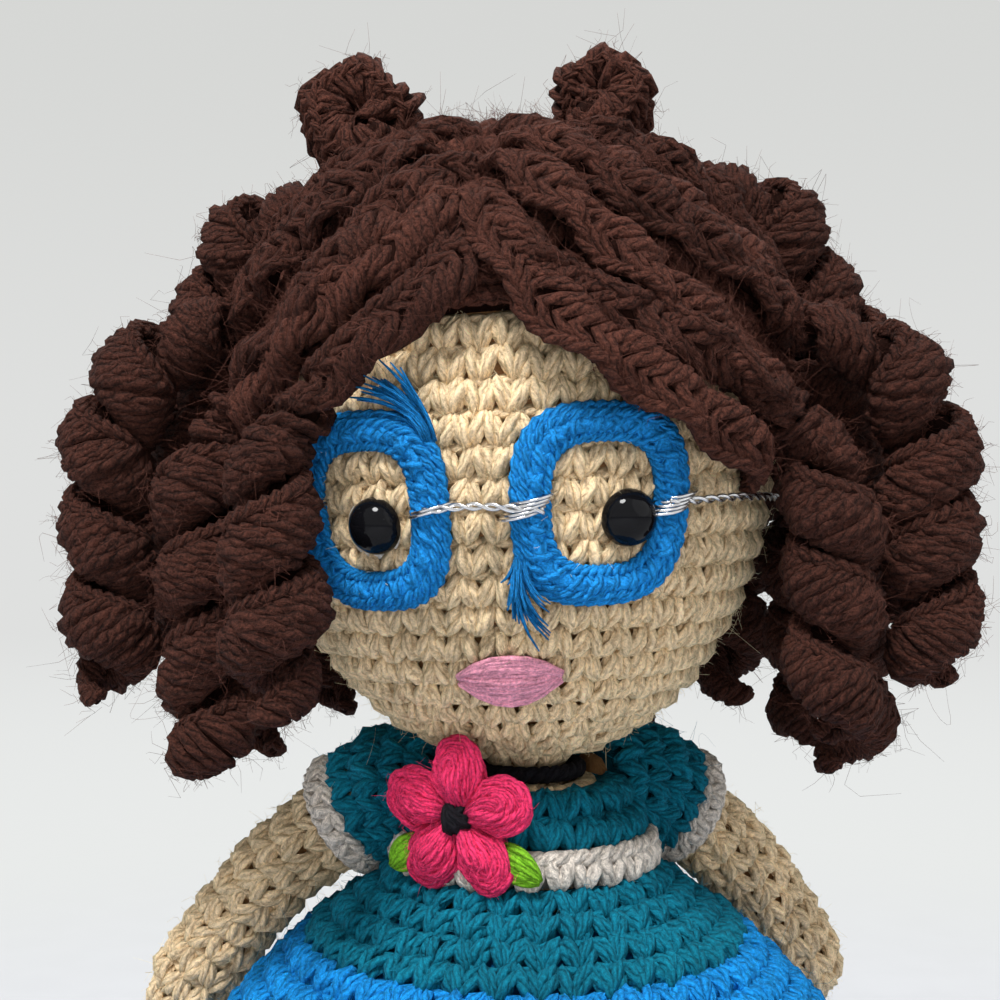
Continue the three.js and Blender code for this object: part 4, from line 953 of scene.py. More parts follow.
@once
def washer_plastic(name):
    """Milky moulded plastic with fine scuffs."""
    return two_tone(name, lambda nodes: nodes.noise(nodes.spot(), 900.0, 4.0, 0.6), EVEN,
                    (paint(206, 205, 200), paint(232, 232, 228)), (0.3, 0.8, 0.35, 0.6), {})


# Head

CAP_TILT = math.radians(35)
CAP_NORMAL = (0, math.sin(CAP_TILT), math.cos(CAP_TILT))
EYE_ASIDE, EYE_RISE = 17.4, -10.5
MOUTH_RISE, MOUTH_HALF_WIDE, MOUTH_STRANDS = -33, 7.1, 22


def over_cap(point):
    """How far a point in the doll's frame is above the plane of the cap's edge."""
    local = (np.asarray(point) - [0, 0, PIVOT_Z]) @ TO_DOLL
    return local[..., 1] * CAP_NORMAL[1] + (local[..., 2] - HEAD_RISE + 6.0) * CAP_NORMAL[2]


class DOLL_OT_head(bpy.types.Operator):
    """Crochet the head and the neck, and fill the head"""

    bl_idname = "doll.head"
    bl_label = "Head"

    def execute(self, context):
        work = Yarnwork(11)
        egg = HeadRounds(HEAD_RADIUS - 0.5, HEAD_HALF - 0.5)
        crochet(work, egg, 9.0, egg.end, *stitch("skin"), keep=lambda p: over_cap(p) < 0.9, plies=3)
        hand_over(work, "crochet_head", [yarn("Skin yarn")], "head", "head_shell", "tan_yarn", fuzz="skin",
                  inside=lambda: egg_lining("head_lining", 1.0, felted("Skin lining")))
        place(egg_lining("fill_head", 4.5, felted("Stuffing")), "head", ["head_stuffing"], "stuffing")

        outline = [(6.0, 91.5), (5.4, 96), (5.3, 100), (7.2, 103), (8.1, PIVOT_Z), (7.2, 110)]
        inner = [(4.6, 93.3), (4.2, 99), (6.2, 103.4), (7.0, PIVOT_Z), (3.2, 113)]
        worked_round(12, "crochet_neck", outline, (4.0, 4.2), "Skin yarn", "neck", "neck_tube", "tan_yarn",
                     ("neck_lining", "Skin lining", inner), fill=0.8, lift=-0.7)
        return {"FINISHED"}


class DOLL_OT_eyes(bpy.types.Operator):
    """Set the glossy eyes and the felt disc behind one of them"""

    bl_idname = "doll.eyes"
    bl_label = "Eyes"

    def execute(self, context):
        azimuth = math.asin(EYE_ASIDE / head_radius_at(EYE_RISE))
        for name, side in SIDES:
            eye = self.dome(f"glossy_eye_{name}", on_head(side * azimuth, EYE_RISE, 1.4), 4.2, 3.6, 0.6)
            place(eye, "head", [f"eye_{name}"], "eye_plastic", glossy_plastic("Eye plastic"))
        felt = self.dome("felt_rim_right", on_head(-azimuth - 0.028, EYE_RISE - 0.55, 0.5), 4.6, 0.9, 1.6)
        place(felt, "head", ["eye_felt_right"], "white_felt", felted("White felt"))
        return {"FINISHED"}

    def dome(self, name, seat, radius, bulge, sunk):
        """A ball squashed into a dome, whose lower half sinks less far into the work."""
        spot, out = seat
        aside = unit(np.cross([0, 0, 1.0], out))
        above = np.cross(out, aside)
        obj = ball(name, (radius, radius, bulge), 40, 24)
        reshape(obj, lambda x, y, z: spot + aside * x + above * y + out * (z * sunk / bulge if z < 0 else z))
        obj.data.shade_smooth()
        return obj


class DOLL_OT_mouth(bpy.types.Operator):
    """Stitch the mouth in floss"""

    bl_idname = "doll.mouth"
    bl_label = "Mouth"

    def execute(self, context):
        work = Yarnwork(13)
        rng = work.rng
        steps = np.linspace(-1, 1, 7)
        places = []
        for i in range(MOUTH_STRANDS):
            share = abs((i + 0.5) / MOUTH_STRANDS * 2 - 1)
            upper = i % 2 == 0
            tall = (3.6 if upper else -3.7) * (1 - steps**2 * 0.92) * share**0.8
            across = MOUTH_HALF_WIDE * steps + rng.uniform(-0.25, 0.25)
            rise = MOUTH_RISE + tall + rng.uniform(-0.15, 0.15) + (0.5 * np.abs(steps) if upper else 0)
            lift = 1.45 + rng.uniform(0, 0.3) + 0.75 * (1 - share) * (1 - steps**2) + 0.35 * (1 - steps**4)
            places.append(on_head(across / head_radius_at(MOUTH_RISE), rise, lift))
        points, outward = (np.array(x) for x in zip(*places))
        work.lay(points, 0.46, outward, sides=6, fuzzy=False)
        hand_over(work, "stitched_mouth", [yarn("Rose floss")], "head", "mouth_stitches", "rose_floss")
        return {"FINISHED"}


# Spectacles

RING_WIDE, RING_TALL, RING_BAND = 12.2, 13.2, 4.3
RING_LIFT = 2.2
RING_DROP = -8.4
RING_STITCHES = 22
# The two legs of a ring's stitch, each from (share of a stitch round, place across the band) to the same
RING_LEGS = (((-0.55, -1.75), (0.42, 1.25)), ((0.38, -1.75), (-0.48, 1.25)))
# The chains along a ring: place across the band, lift and yarn radius
RING_CHAINS = ((1.95, 2.1, 0.78), (-1.75, 2.0, 0.72), (1.1, 3.0, 0.62))
# The yarn tails: side, how far round the ring, lean and seed
TAILS = (("right", -1, 38, 34, 30), ("left", 1, 207, 24, 31))
TAIL_PLIES = 34


def ring_azimuth(side):
    return (-2.5 + side * 17.0) / head_radius_at(RING_DROP)


def ring_point(side, turn, grow, lift):
    """A place on a spectacle ring: grow moves it outwards over the face, lift away from it."""
    c, s = np.cos(turn), np.sin(turn)
    rounded = (np.abs(c) ** 3 + np.abs(s) ** 3) ** (-1 / 3)
    across = (RING_WIDE - RING_BAND / 2 + grow) * c * rounded
    rise = (RING_TALL - RING_BAND / 2 + grow) * s * rounded
    return on_head(ring_azimuth(side) + across / head_radius_at(RING_DROP), rise + RING_DROP, lift)


class DOLL_OT_spectacles(bpy.types.Operator):
    """Crochet the two spectacle rings with their loose yarn tails"""

    bl_idname = "doll.spectacles"
    bl_label = "Spectacles"

    def execute(self, context):
        for i, (name, side) in enumerate(SIDES):
            work = Yarnwork(20 + i)
            self.stitches(work, side)
            turn = np.linspace(0, TURN, 6 * RING_STITCHES + 1)
            for edge, lift, radius in RING_CHAINS:
                work.chain(RING_STITCHES * turn,
                           lambda c, s: ring_point(side, turn, edge + 0.42 * c, lift + 0.38 * s), radius)
            point, outward = ring_point(side, np.linspace(0, TURN, 65), 0.0, 1.9)
            work.lay(point, 1.7, outward, sides=8, fuzzy=False)
            hand_over(work, f"crochet_ring_{name}", [yarn("Spectacle yarn")], "head", f"spectacle_ring_{name}",
                      "azure_yarn")
        for name, side, turn, lean, seed in TAILS:
            self.tail(name, side, math.radians(turn), math.radians(lean), seed)
        return {"FINISHED"}

    def stitches(self, work, side):
        rng, count = work.rng, RING_STITCHES
        share = np.linspace(0, 1, 6)
        start_turn = TURN * np.arange(count)[:, None] / count
        for leg, (start, end) in enumerate(RING_LEGS):
            turn = start_turn + (mix(start[0], end[0], share) + rng.uniform(-0.06, 0.06, (count, 1))) * TURN / count
            arch = 1.9 * np.sin(math.pi * share)[None] * rng.uniform(0.85, 1.15, (count, 1))
            lift = RING_LIFT - 0.9 + arch + 0.2 * leg
            point, outward = ring_point(side, turn, mix(start[1], end[1], share), lift)
            work.lay(point, np.array([0.5, 0.72, 0.86, 0.88, 0.74, 0.5]), outward)

    def tail(self, name, side, turn, lean, seed):
        """A tuft of unravelled plies where the ring was fastened off."""
        work = Yarnwork(seed)
        rng = work.rng
        share = np.linspace(0, 1, 7)
        spread = rng.normal(0, 1, (TAIL_PLIES, 1))
        fan = rng.normal(0, 1, (TAIL_PLIES, 1))
        reach = rng.uniform(0.75, 1.15, (TAIL_PLIES, 1))
        turns = turn + (lean + 0.14 * spread * share) * share * reach + 0.05 * spread * 0.4
        grow = 2.2 + (3.4 * reach + 1.0 * fan * share) * share + 0.35 * fan
        rise = 2.6 + 1.1 * rng.normal(0, 1, (TAIL_PLIES, 1))
        lift = 2.3 + 0.5 * spread * (1 - share) + rise * share**1.2
        point, outward = ring_point(side, turns, grow, np.maximum(lift, 0.9))
        work.lay(point, np.array([0.3, 0.34, 0.34, 0.3, 0.26, 0.2, 0.1]), outward, sides=4)
        hand_over(work, f"yarn_tuft_{name}", [yarn("Spectacle yarn")], "head", f"ring_tail_{name}", "azure_yarn")


class DOLL_OT_wire(bpy.types.Operator):
    """Twist the wire bridge and temples and wrap them round the rings"""

    bl_idname = "doll.wire"
    bl_label = "Wire"

    TWIST = 4.6
    TEMPLE_END = math.radians(88)

    def execute(self, context):
        reach = 12.55 / head_radius_at(RING_DROP)
        right, left = ring_azimuth(-1) + reach, ring_azimuth(1) - reach
        self.twisted("wire_bridge", "bridge_wire", right - 0.07, left + 0.1, [(left + 0.055, 5), (right - 0.05, 2)], 40)
        for i, (name, side) in enumerate(SIDES):
            start = ring_azimuth(side) + side * (reach - 0.1)
            wraps = [(ring_azimuth(side) + side * (reach - 0.05), 5)]
            self.twisted(f"wire_temple_{name}", f"temple_wire_{name}", start, side * self.TEMPLE_END, wraps, 41 + i)
        return {"FINISHED"}

    def twisted(self, name, node, start, end, wraps, seed):
        work = Yarnwork(seed)
        run = abs(end - start) * head_radius_at(RING_DROP)
        share = np.linspace(0, 1, max(24, int(run * 2.2)))
        bow = 0.5 * np.sin(share * math.pi * 1.3)
        work.chain(TURN * share * run / self.TWIST,
                   lambda c, s: on_head(mix(start, end, share), RING_DROP + 0.36 * c + bow, 3.9 + 0.3 * s),
                   0.3, sides=6, fuzzy=False)
        for azimuth, turns in wraps:
            self.wrap(work, azimuth, turns)
        hand_over(work, name, [bright_wire("Bright wire")], "head", node, "wire")

    def wrap(self, work, azimuth, turns):
        """Turns of wire round the band of a ring, seen as short strokes over it."""
        share = np.linspace(0, 1, 12)
        for i in range(turns):
            across = azimuth + (i - turns / 2) * 0.011 + (share - 0.5) * 0.16
            rise = RING_DROP + (i - (turns - 1) / 2) * 0.55 + (share - 0.5) * 1.4
            point, outward = on_head(across, rise, 1.6 + 2.9 * np.sin(math.pi * share) ** 0.6)
            work.lay(point, 0.24, outward, sides=6, fuzzy=False)


# Hair. Strands hang in lanes round the head, and the sizes here are those of the solids that they stand for.

CAP_THICKNESS = 4.2
GAP = 0.35
CURL_RADIUS = 8.0
# Half the thickness of a strand where it is wound, and where it lies on the cap
CURL_YARN, ROOT_YARN = 3.4, 2.9
# The room between neighbouring curls
LOOSE = 0.9
CAD_COIL = CURL_RADIUS - CURL_YARN
# A quarter of the way round the head, from the crown to its widest level
QUARTER = (math.pi / 2) * math.sqrt((HEAD_RADIUS**2 + HEAD_HALF**2) / 2)
# The lanes leave the face free, from so many degrees on its right to so many on its left
LANES, FACE_RIGHT, FACE_LEFT = 12, 38, 66
LANE = (TURN - math.radians(FACE_RIGHT + FACE_LEFT)) / (LANES - 1)
HAIR_RING = max(HEAD_RADIUS, (CURL_RADIUS + LOOSE / 2) / math.sin(LANE / 2) - CAP_THICKNESS - GAP - CURL_RADIUS)
# Where a tier's strands start to curl, and over which length they come to their full size
INNER, OUTER = (0.7, 0.32), (0.32, 0.34)
GOLDEN = math.pi * (3 - math.sqrt(5))
# Lane, where the strand starts to hang and where it ends, and for some the azimuth that they leave from and
# over which length they drift from there to their lane
INNER_STRANDS = (
    (0, 0.66, 0.76, -6, 0.34), (1, 0.58, 0.98, -26, 0.42), (2, 0.62, 0.84), (3, 0.62, 1.04), (4, 0.62, 0.94),
    (5, 0.62, 1.06), (6, 0.62, 0.98), (7, 0.62, 1.06), (8, 0.62, 0.94), (9, 0.62, 1.04), (10, 0.62, 1.08),
    (11, 0.67, 0.92, 6, 0.35),
)
OUTER_STRANDS = (
    (1.5, 0.36, 0.74, -32, 0.46), (2.5, 0.45, 0.66), (3.5, 0.36, 0.82), (8.5, 0.36, 0.8), (9.5, 0.42, 0.62),
    (10.5, 0.4, 0.78, 22, 0.5),
)
# Where each strand is sewn to the cap, above the place where it starts to hang: how far down, and its azimuth
INNER_SEWN = (
    (0.56, -3), (0.42, -4), (0.30, -48), (0.34, -96), (0.36, -127), (0.36, -153), (0.36, 181), (0.36, 158),
    (0.34, 130), (0.34, 98), (0.28, 36), (0.57, 1),
)
OUTER_SEWN = ((0.24, -14), (0.28, -72), (0.24, -114), (0.24, 118), (0.26, 72), (0.26, 5))
# Bands of the fringe that end under the curls: azimuth and how far down, from the parting outwards
FRINGE = (
    ((-3, 0.50), (1, 0.62), (9, 0.78), (25, 0.885), (40, 0.97), (60, 1.06)),
    ((1, 0.40), (14, 0.56), (30, 0.72), (50, 0.88), (68, 0.98)),
    ((-5, 0.52), (-18, 0.665), (-42, 0.81), (-62, 0.97)),
    ((3, 0.36), (26, 0.47), (50, 0.58), (76, 0.74)),
)
# The chains along the cap's edge: height over its plane and lift
CAP_CHAINS = ((5.0, 3.7), (2.5, 3.5), (0.0, 2.7))
# How far a crown curl stands to its side of the crown, and its radius
CROWN_CURLS = {"right": (17.0, 10.4), "left": (12.0, 8.2)}
# The half sizes of a strand where it lies flat
FLAT_THICK, FLAT_HIGH = 2.3, 3.1
CHAIN_BEAT = 5.2


def lane_azimuth(lane):
    return -math.radians(FACE_RIGHT) - lane * LANE


def lane_room(w, lift):
    return (HAIR_RING + lift) * np.sin(np.minimum(w, 1) * math.pi / 2) * math.sin(LANE / 2)


def girth(w, curling):
    """A strand's half thickness, the radius that it winds at, and how far it has come to its full size."""
    grown = smooth((w - curling[0]) / curling[1])
    yarn_radius = mix(ROOT_YARN, CURL_YARN, grown)
    room = lane_room(w, CAP_THICKNESS + GAP + CURL_RADIUS * grown) - yarn_radius - LOOSE / 2
    return yarn_radius, np.maximum(0, np.minimum(CAD_COIL * grown, room)), grown


def resting_lift(w, curling):
    yarn_radius, coil, _ = girth(w, curling)
    return CAP_THICKNESS + GAP + yarn_radius + coil


def outer_lift(w, curling):
    """An outer strand lies in the groove between two inner ones."""
    inner_yarn, inner_coil, _ = girth(w, INNER)
    yarn_radius, coil, _ = girth(w, curling)
    inner = resting_lift(w, INNER)
    touch = inner_yarn + inner_coil + yarn_radius + coil + LOOSE
    over = inner + np.sqrt(np.maximum(0, touch**2 - lane_room(w, inner) ** 2))
    alone = resting_lift(w, curling)
    return mix(alone, np.maximum(alone, over), smooth((w - 0.48) / 0.14))


def strand_place(azimuth, w, lift):
    """Where a strand's middle is: w is 0 at the crown, 1 at the head's widest level, and more where it hangs."""
    level = np.minimum(w, 1) * math.pi / 2
    r = (mix(HEAD_RADIUS, HAIR_RING, smooth((w - 0.6) / 0.4)) + lift) * np.sin(level)
    z = (HEAD_HALF + lift) * np.cos(level) - np.maximum(w - 1, 0) * QUARTER
    return np.stack([r * np.sin(azimuth), -r * np.cos(azimuth), z + HEAD_RISE], -1)


class Strand:
    """The middle of a strand of hair, the two axes of its section there, and its half sizes."""

    def __init__(self, centre, out, down, thick, high, speed, lying=0.0, wrapped=0.0):
        self.run = run_along(centre)
        self.centre, self.out, self.down = at_head(centre), turn_head(out), turn_head(down)
        self.thick, self.high, self.speed = thick, high, speed
        self.outer = np.concatenate([[0], ((speed[1:] + speed[:-1]) / 2 * np.diff(self.run)).cumsum()])
        self.lying, self.wrapped = (np.broadcast_to(x, self.run.shape) for x in (lying, wrapped))

    def take(self, run):
        """The middle, the outward axis and the half sizes at a run along the strand."""
        centre, out, down = (read_points(run, self.run, t) for t in (self.centre, self.out, self.down))
        return centre, unit(out), unit(down), *(np.interp(run, self.run, t) for t in (self.thick, self.high))

    def on(self, run, angle, proud):
        """A point on the strand's side at an angle from its outermost line, and the way outwards there."""
        centre, out, down, thick, high = self.take(run)
        c, s = np.cos(angle)[..., None], np.sin(angle)[..., None]
        thick, high = thick[..., None], high[..., None]
        outward = unit(out * c / thick + down * s / high)
        return centre + out * c * thick + down * s * high + outward * proud[..., None], outward


def wander(rng, run, wave):
    """A slow drift between about -1 and 1 along a strand, as handwork has."""
    a, b = rng.uniform(0, TURN, 2)
    return 0.6 * np.sin(TURN * run / wave + a) + 0.4 * np.sin(TURN * run / wave * 1.71 + b)


def hanging_strand(hair, azimuth_at, root, end, lift_at, curling, phase, hand, rng):
    """A strand that is sewn down at its root, lies in waves over the cap and then winds down its lane."""
    pitch = mm(hair.pitch)
    w = np.linspace(root, end, 900)
    _, coil, grown = girth(w, curling)
    sewn = 1.6 + 3.4 * (1 - smooth((w - root) / 0.1))
    lift = lift_at(w, curling) - sewn * (1 - smooth((w - root - 0.1) / 0.2))
    lane = strand_place(azimuth_at(w), w, lift)
    along = unit(np.gradient(lane, axis=0))
    aside = unit(np.cross(along, unit(lane * [1, 1, 0])))
    stand = np.cross(aside, along)

    run = run_along(lane)
    flat = run[max(1, int(np.argmax(w >= curling[0])))]
    wound = np.maximum(run - flat, 0)
    turns = TURN * wound / pitch + 0.5 * wander(rng, run, 44) * smooth(wound / 20)
    start = (phase + math.pi) % TURN - math.pi
    waves = (1 - smooth(wound / 8)) * np.sin(TURN * run / pitch + phase)
    turn = start * smooth((run - (flat - 18)) / 18) + hand * turns + 0.42 * waves
    out = stand * np.cos(turn)[:, None] + aside * np.sin(turn)[:, None]
    reach = coil * mm(hair.coil) / CAD_COIL * (1 + 0.07 * wander(rng, run, 31))
    centre = lane + out * reach[:, None] + stand * (0.55 * waves)[:, None]
    centre = centre + aside * (0.7 * grown * wander(rng, run, 37))[:, None]
    ahead = unit(np.gradient(centre, axis=0))
    out = unit(square_to(out, ahead))

    left = run[-1] - run
    tip = 1 - 0.66 * smooth(1 - left / 6)
    plump = 1 + 0.07 * wander(rng, run, 17)
    thick = mix(FLAT_THICK, mm(hair.thickness), grown) * tip * plump
    high = mix(FLAT_HIGH, mm(hair.height), grown) * tip * (1 + 0.06 * wander(rng, run, 23))
    speed = 1 + 0.95 * reach / mm(hair.coil)
    lying, wrapped = 1 - smooth(wound / 9), smooth((14 - left) / 9)
    return Strand(centre, out, np.cross(ahead, out) * hand, thick, high, speed, lying, wrapped)


def cap_band(places):
    """A flat strand over the cap through the given places, in waves, sewn down at its start."""
    places = np.asarray(places, float)
    knots = np.linspace(0, 1, len(places))
    share = np.linspace(0, 1, 300)
    azimuth, w = np.interp(share, knots, np.radians(places[:, 0])), np.interp(share, knots, places[:, 1])
    for _ in range(500):
        for line in (azimuth, w):
            line[1:-1] = (line[:-2] + line[2:]) / 2
    ends = smooth(share / 0.16) * smooth((1 - share) / 0.12)
    lane = strand_place(azimuth, w, 7.0 + 0.5 * np.sin(share * 31) - 4.2 * (1 - ends))
    along = unit(np.gradient(lane, axis=0))
    out = unit(lane - [0, 0, HEAD_RISE])
    aside = unit(np.cross(along, out))
    turn = 0.45 * np.sin(share * 31 + 1.0)[:, None]
    out = np.cross(aside, along) * np.cos(turn) + aside * np.sin(turn)
    size = np.ones(300)
    return Strand(lane, out, np.cross(along, out), FLAT_THICK * size, 3.5 * size, size, 1.0)


# The posts over a strand: degrees from its outermost line where it is half or wholly wrapped, and their thickness
POST_DEGREES = np.array([-162, -120, -86, -52, -20, 14, 46, 74, 98])
WRAPPED_DEGREES = np.linspace(-176, 172, 9)
POST_SHAPE = np.array([0.62, 0.92, 1.06, 1.12, 1.1, 1.12, 1.08, 0.9, 0.56])


def crochet_strand(work, strand):
    """Posts over the strand, slanted or as chevrons where it lies flat, and the chain along its lower edge."""
    rng, ply = work.rng, mm(bpy.context.scene.doll_hair.ply)
    length_outside = strand.outer[-1]
    count = int(length_outside / (2.25 * ply))
    start = np.interp((np.arange(count) + 0.5) / count * length_outside, strand.outer, strand.run)
    lying, wrapped, speed = (
        np.interp(start, strand.run, t)[:, None] for t in (strand.lying, strand.wrapped, strand.speed)
    )
    angle = np.radians(mix(POST_DEGREES[None], WRAPPED_DEGREES[None], wrapped)) + rng.uniform(-0.1, 0.1, (count, 1))
    slanted = mix(angle * rng.uniform(4.2, 6.0, (count, 1)), 3.4 * np.abs(angle - 0.15) - 2.0, lying)
    run = start[:, None] + (slanted * mix(1, 0.4, wrapped) + rng.uniform(-0.55, 0.55, (count, 1))) / speed
    groove = -0.55 * lying * np.exp(-((angle - 0.15) / 0.3) ** 2)
    proud = -0.25 + groove + rng.uniform(-0.45, 0.5, (count, 1)) + rng.uniform(-0.16, 0.16, angle.shape)
    point, outward = strand.on(np.clip(run, 0, strand.run[-1]), angle, proud)
    thickness = POST_SHAPE * ply * rng.uniform(0.82, 1.12, (count, 1)) * mix(1, 0.8, wrapped)
    work.lay(point, thickness, outward, sides=6)

    outer = np.linspace(0, length_outside, int(length_outside / CHAIN_BEAT) * 4 + 1)
    run = np.interp(outer, strand.outer, strand.run)
    fine = np.interp(run, strand.run, strand.wrapped)
    work.chain(TURN * outer / CHAIN_BEAT,
               lambda c, s: strand.on(run, np.radians(70) + 0.16 * c, 0.45 * (1 - fine) + 0.5 * s),
               ply * 0.86 * (1 - 0.35 * fine))

    # A core under the posts in the hair lining's painted shade, seen between them.
    outer = np.linspace(0, length_outside, max(8, int(length_outside / 3.2)))
    centre, out, _, thick, high = strand.take(np.interp(outer, strand.outer, strand.run))
    work.lay(centre, thick - 0.5, out, slot=1, sides=10, flat=float((high / thick).mean()), fuzzy=False)


class DOLL_OT_hair(bpy.types.Operator):
    """Crochet the cap, the hanging curls and the two crown curls"""

    bl_idname = "doll.hair"
    bl_label = "Hair"

    def execute(self, context):
        self.cap()
        self.hang(context.scene.doll_hair, INNER_STRANDS, INNER_SEWN, "curl", INNER, resting_lift, 1, 60)
        self.hang(context.scene.doll_hair, OUTER_STRANDS, OUTER_SEWN, "outer_curl", OUTER, outer_lift, -1, 90)
        for name, side in SIDES:
            work = Yarnwork(55 + side)
            crochet_strand(work, self.crown_strand(side, *CROWN_CURLS[name]))
            self.give(work, f"crown_curl_{name}", "Hair yarn")
        return {"FINISHED"}

    def give(self, work, node, finish, name=None, inside=None):
        hand_over(work, name or f"crochet_{node}", [yarn(finish), felted("Hair lining")], "head", node, "brown_yarn",
                  inside=inside, fuzz="hair")

    def cap(self):
        work = Yarnwork(50)
        rounds = HeadRounds(HEAD_RADIUS + 3.1, HEAD_HALF + 3.1, tip=18)
        crochet(work, rounds, rounds.end * 0.12, rounds.end, *stitch("cap"), keep=lambda p: over_cap(p) > 2.5)
        for places in FRINGE:
            crochet_strand(work, cap_band(places))
        self.cap_edge(work)
        plane = ((0, 0, HEAD_RISE - 5.6), CAP_NORMAL)
        self.give(work, "wig_cap", "Hair yarn", "crochet_cap",
                  lambda: egg_lining("cap_lining", -2.4, felted("Hair lining"), plane))

    def cap_edge(self, work):
        """Rows of chain along the edge of the cap, all round the head."""
        azimuth = np.linspace(-math.pi, math.pi, 241)
        for drop, lift in CAP_CHAINS:
            low, high = np.full(241, -HEAD_HALF * 0.98), np.full(241, HEAD_HALF * 0.98)
            for _ in range(40):
                z = (low + high) / 2
                above = over_cap(on_head(azimuth, z, lift)[0]) > drop
                low, high = np.where(above, low, z), np.where(above, z, high)
            work.chain(46 * azimuth, lambda c, s: on_head(azimuth, z + 0.6 * c, lift + 0.5 * s), 1.15)

    def hang(self, hair, rows, sewn, prefix, curling, lift_at, tier_hand, seed):
        for i, ((lane, root, end, *leaving), (top, top_degrees)) in enumerate(zip(rows, sewn)):
            side = 1 if lane < LANES / 2 else -1
            to = lane_azimuth(lane) + (TURN if side < 0 else 0)
            start, leaves, spread = curling, to, 1.0
            if leaving:
                leaves, spread = math.radians(leaving[0]), leaving[1]
                start = (max(root + spread * 0.7, curling[0]), 0.2)
            top_azimuth = math.radians(top_degrees)

            def azimuth_at(w):
                above = mix(top_azimuth, leaves, smooth((w - top) / (root - top)))
                return np.where(w < root, above, mix(leaves, to, smooth((w - root) / spread)))

            work = Yarnwork(seed + i)
            end_w = 1 + end * HEAD_HALF / QUARTER
            crochet_strand(work, hanging_strand(hair, azimuth_at, top, end_w, lift_at, start, i * GOLDEN,
                                                side * tier_hand, work.rng))
            # The hanging curls take the hair yarn darkened as painted shade.
            self.give(work, f"{prefix}_{i + 1}", "Curl yarn")

    def crown_strand(self, side, aside, radius):
        """A fat strand that winds nearly twice round a seat on the crown, and turns in at its end."""
        shrink = (radius - 0.4) / 10.0
        z = HEAD_HALF * math.sqrt(1 - (aside / HEAD_RADIUS) ** 2)
        seat, standing = over_head(side * math.pi / 2, z, CAP_THICKNESS + GAP + radius - 1.6)
        across = np.cross([0.0, 1.0, 0.0], standing)
        wound = np.linspace(-0.08, 1.85, 380)
        turn = (side * TURN * wound - math.pi / 2)[:, None]
        out = across * np.cos(turn) + standing * np.sin(turn)
        lobes = np.cos(TURN * wound * 5.3 + side)
        inward = smooth((wound - 1.35) / 0.5)
        reach = (5.5 + 0.35 * np.cos(TURN * wound * 2.3 + side) - 3.4 * inward) * shrink
        depth = mix((wound - 0.75) * 9.0, -3.2, inward) + 0.5 * lobes
        ring = seat + out * reach[:, None]
        centre = ring + np.array([0, 1.0, 0]) * depth[:, None]
        down = unit(np.cross(unit(np.gradient(ring, axis=0)), out)) * -side
        size = (1 - 0.35 * smooth((0.12 - wound) / 0.14)) * (1 - 0.3 * inward) * mix(1, shrink, 0.6)
        return Strand(centre, out, down, (4.3 + 0.95 * lobes) * size, (4.9 + 0.5 * lobes) * size,
                      np.full(380, 1.45), 0.0, 1.0)


# Dress: outlines are of (radius, height)

SKIRT_LENGTH, HEM_RADIUS, SKIRT_TOP = 82.5, 72.0, 20.7
# The bell's profile, as shares of the way down and of the way out to the hem
BELL = ((0, 0), (0.055, 0.125), (0.127, 0.288), (0.25, 0.493), (0.4, 0.665), (0.6, 0.825), (0.8, 0.935), (1, 1))
FOLDS, FOLD_DEPTH = 12, 2.2
SEAM_Z = SKIRT_LENGTH * 0.6
TORSO = [(1.0, 54.9), (8, 55.3), (13, 57.2), (16.6, 61), (17.6, 68), (17.2, 76), (16.6, 84), (15.4, 90), (13.2, 94.6),
         (9.0, 97.0)]
TORSO_INSIDE = [(0.02, 56), (12, 57.5), (16, 63), (16, 80), (13.5, 91), (6, 95.5), (0.02, 95.6)]
TORSO_FILL = [(0.02, 58.5), (10, 59.5), (13.5, 64), (13.6, 80), (11, 88), (7, 92), (0.02, 92.2)]
BODICE = [(18.9, 88.0), (18.4, 90.6), (16.6, 93.6), (15.6, 95.4), (13.4, 96.9)]
BODICE_INSIDE = [(17.6, 88.3), (17.2, 91), (15.2, 94.2), (13.4, 95.6)]
WAISTBAND = [(20.0, 82.6), (20.3, 85.4), (20.0, 88.1)]
WAISTBAND_INSIDE = [(17.4, 82.9), (19.4, 83.4), (19.6, 87.4), (17.4, 87.9)]


def skirt_fold(z, turn):
    share = 1 - np.asarray(z) / SKIRT_LENGTH
    return FOLD_DEPTH * smooth((share - 0.12) / 0.6) * np.cos(FOLDS * np.asarray(turn))


def skirt_outline(low, high, inset):
    share = np.linspace(1 - low / SKIRT_LENGTH, 1 - high / SKIRT_LENGTH, 30)
    r = SKIRT_TOP + (HEM_RADIUS - SKIRT_TOP) * np.interp(share, *zip(*BELL))
    return np.stack([r - inset, SKIRT_LENGTH * (1 - share)], 1)


def ring_chain(work, radius, z, ply, beats):
    """A chain round the doll's upright line, as the edge of a row has."""
    turn = np.linspace(0, TURN, beats * 6 + 1)
    round_it = np.stack([np.cos(turn), np.sin(turn), np.zeros_like(turn)], -1)

    def place_at(c, s):
        r = radius + 0.5 * c
        return np.stack([r * np.cos(turn), r * np.sin(turn), z + 0.55 * s], -1), round_it

    work.chain(beats * turn, place_at, ply, sides=6)


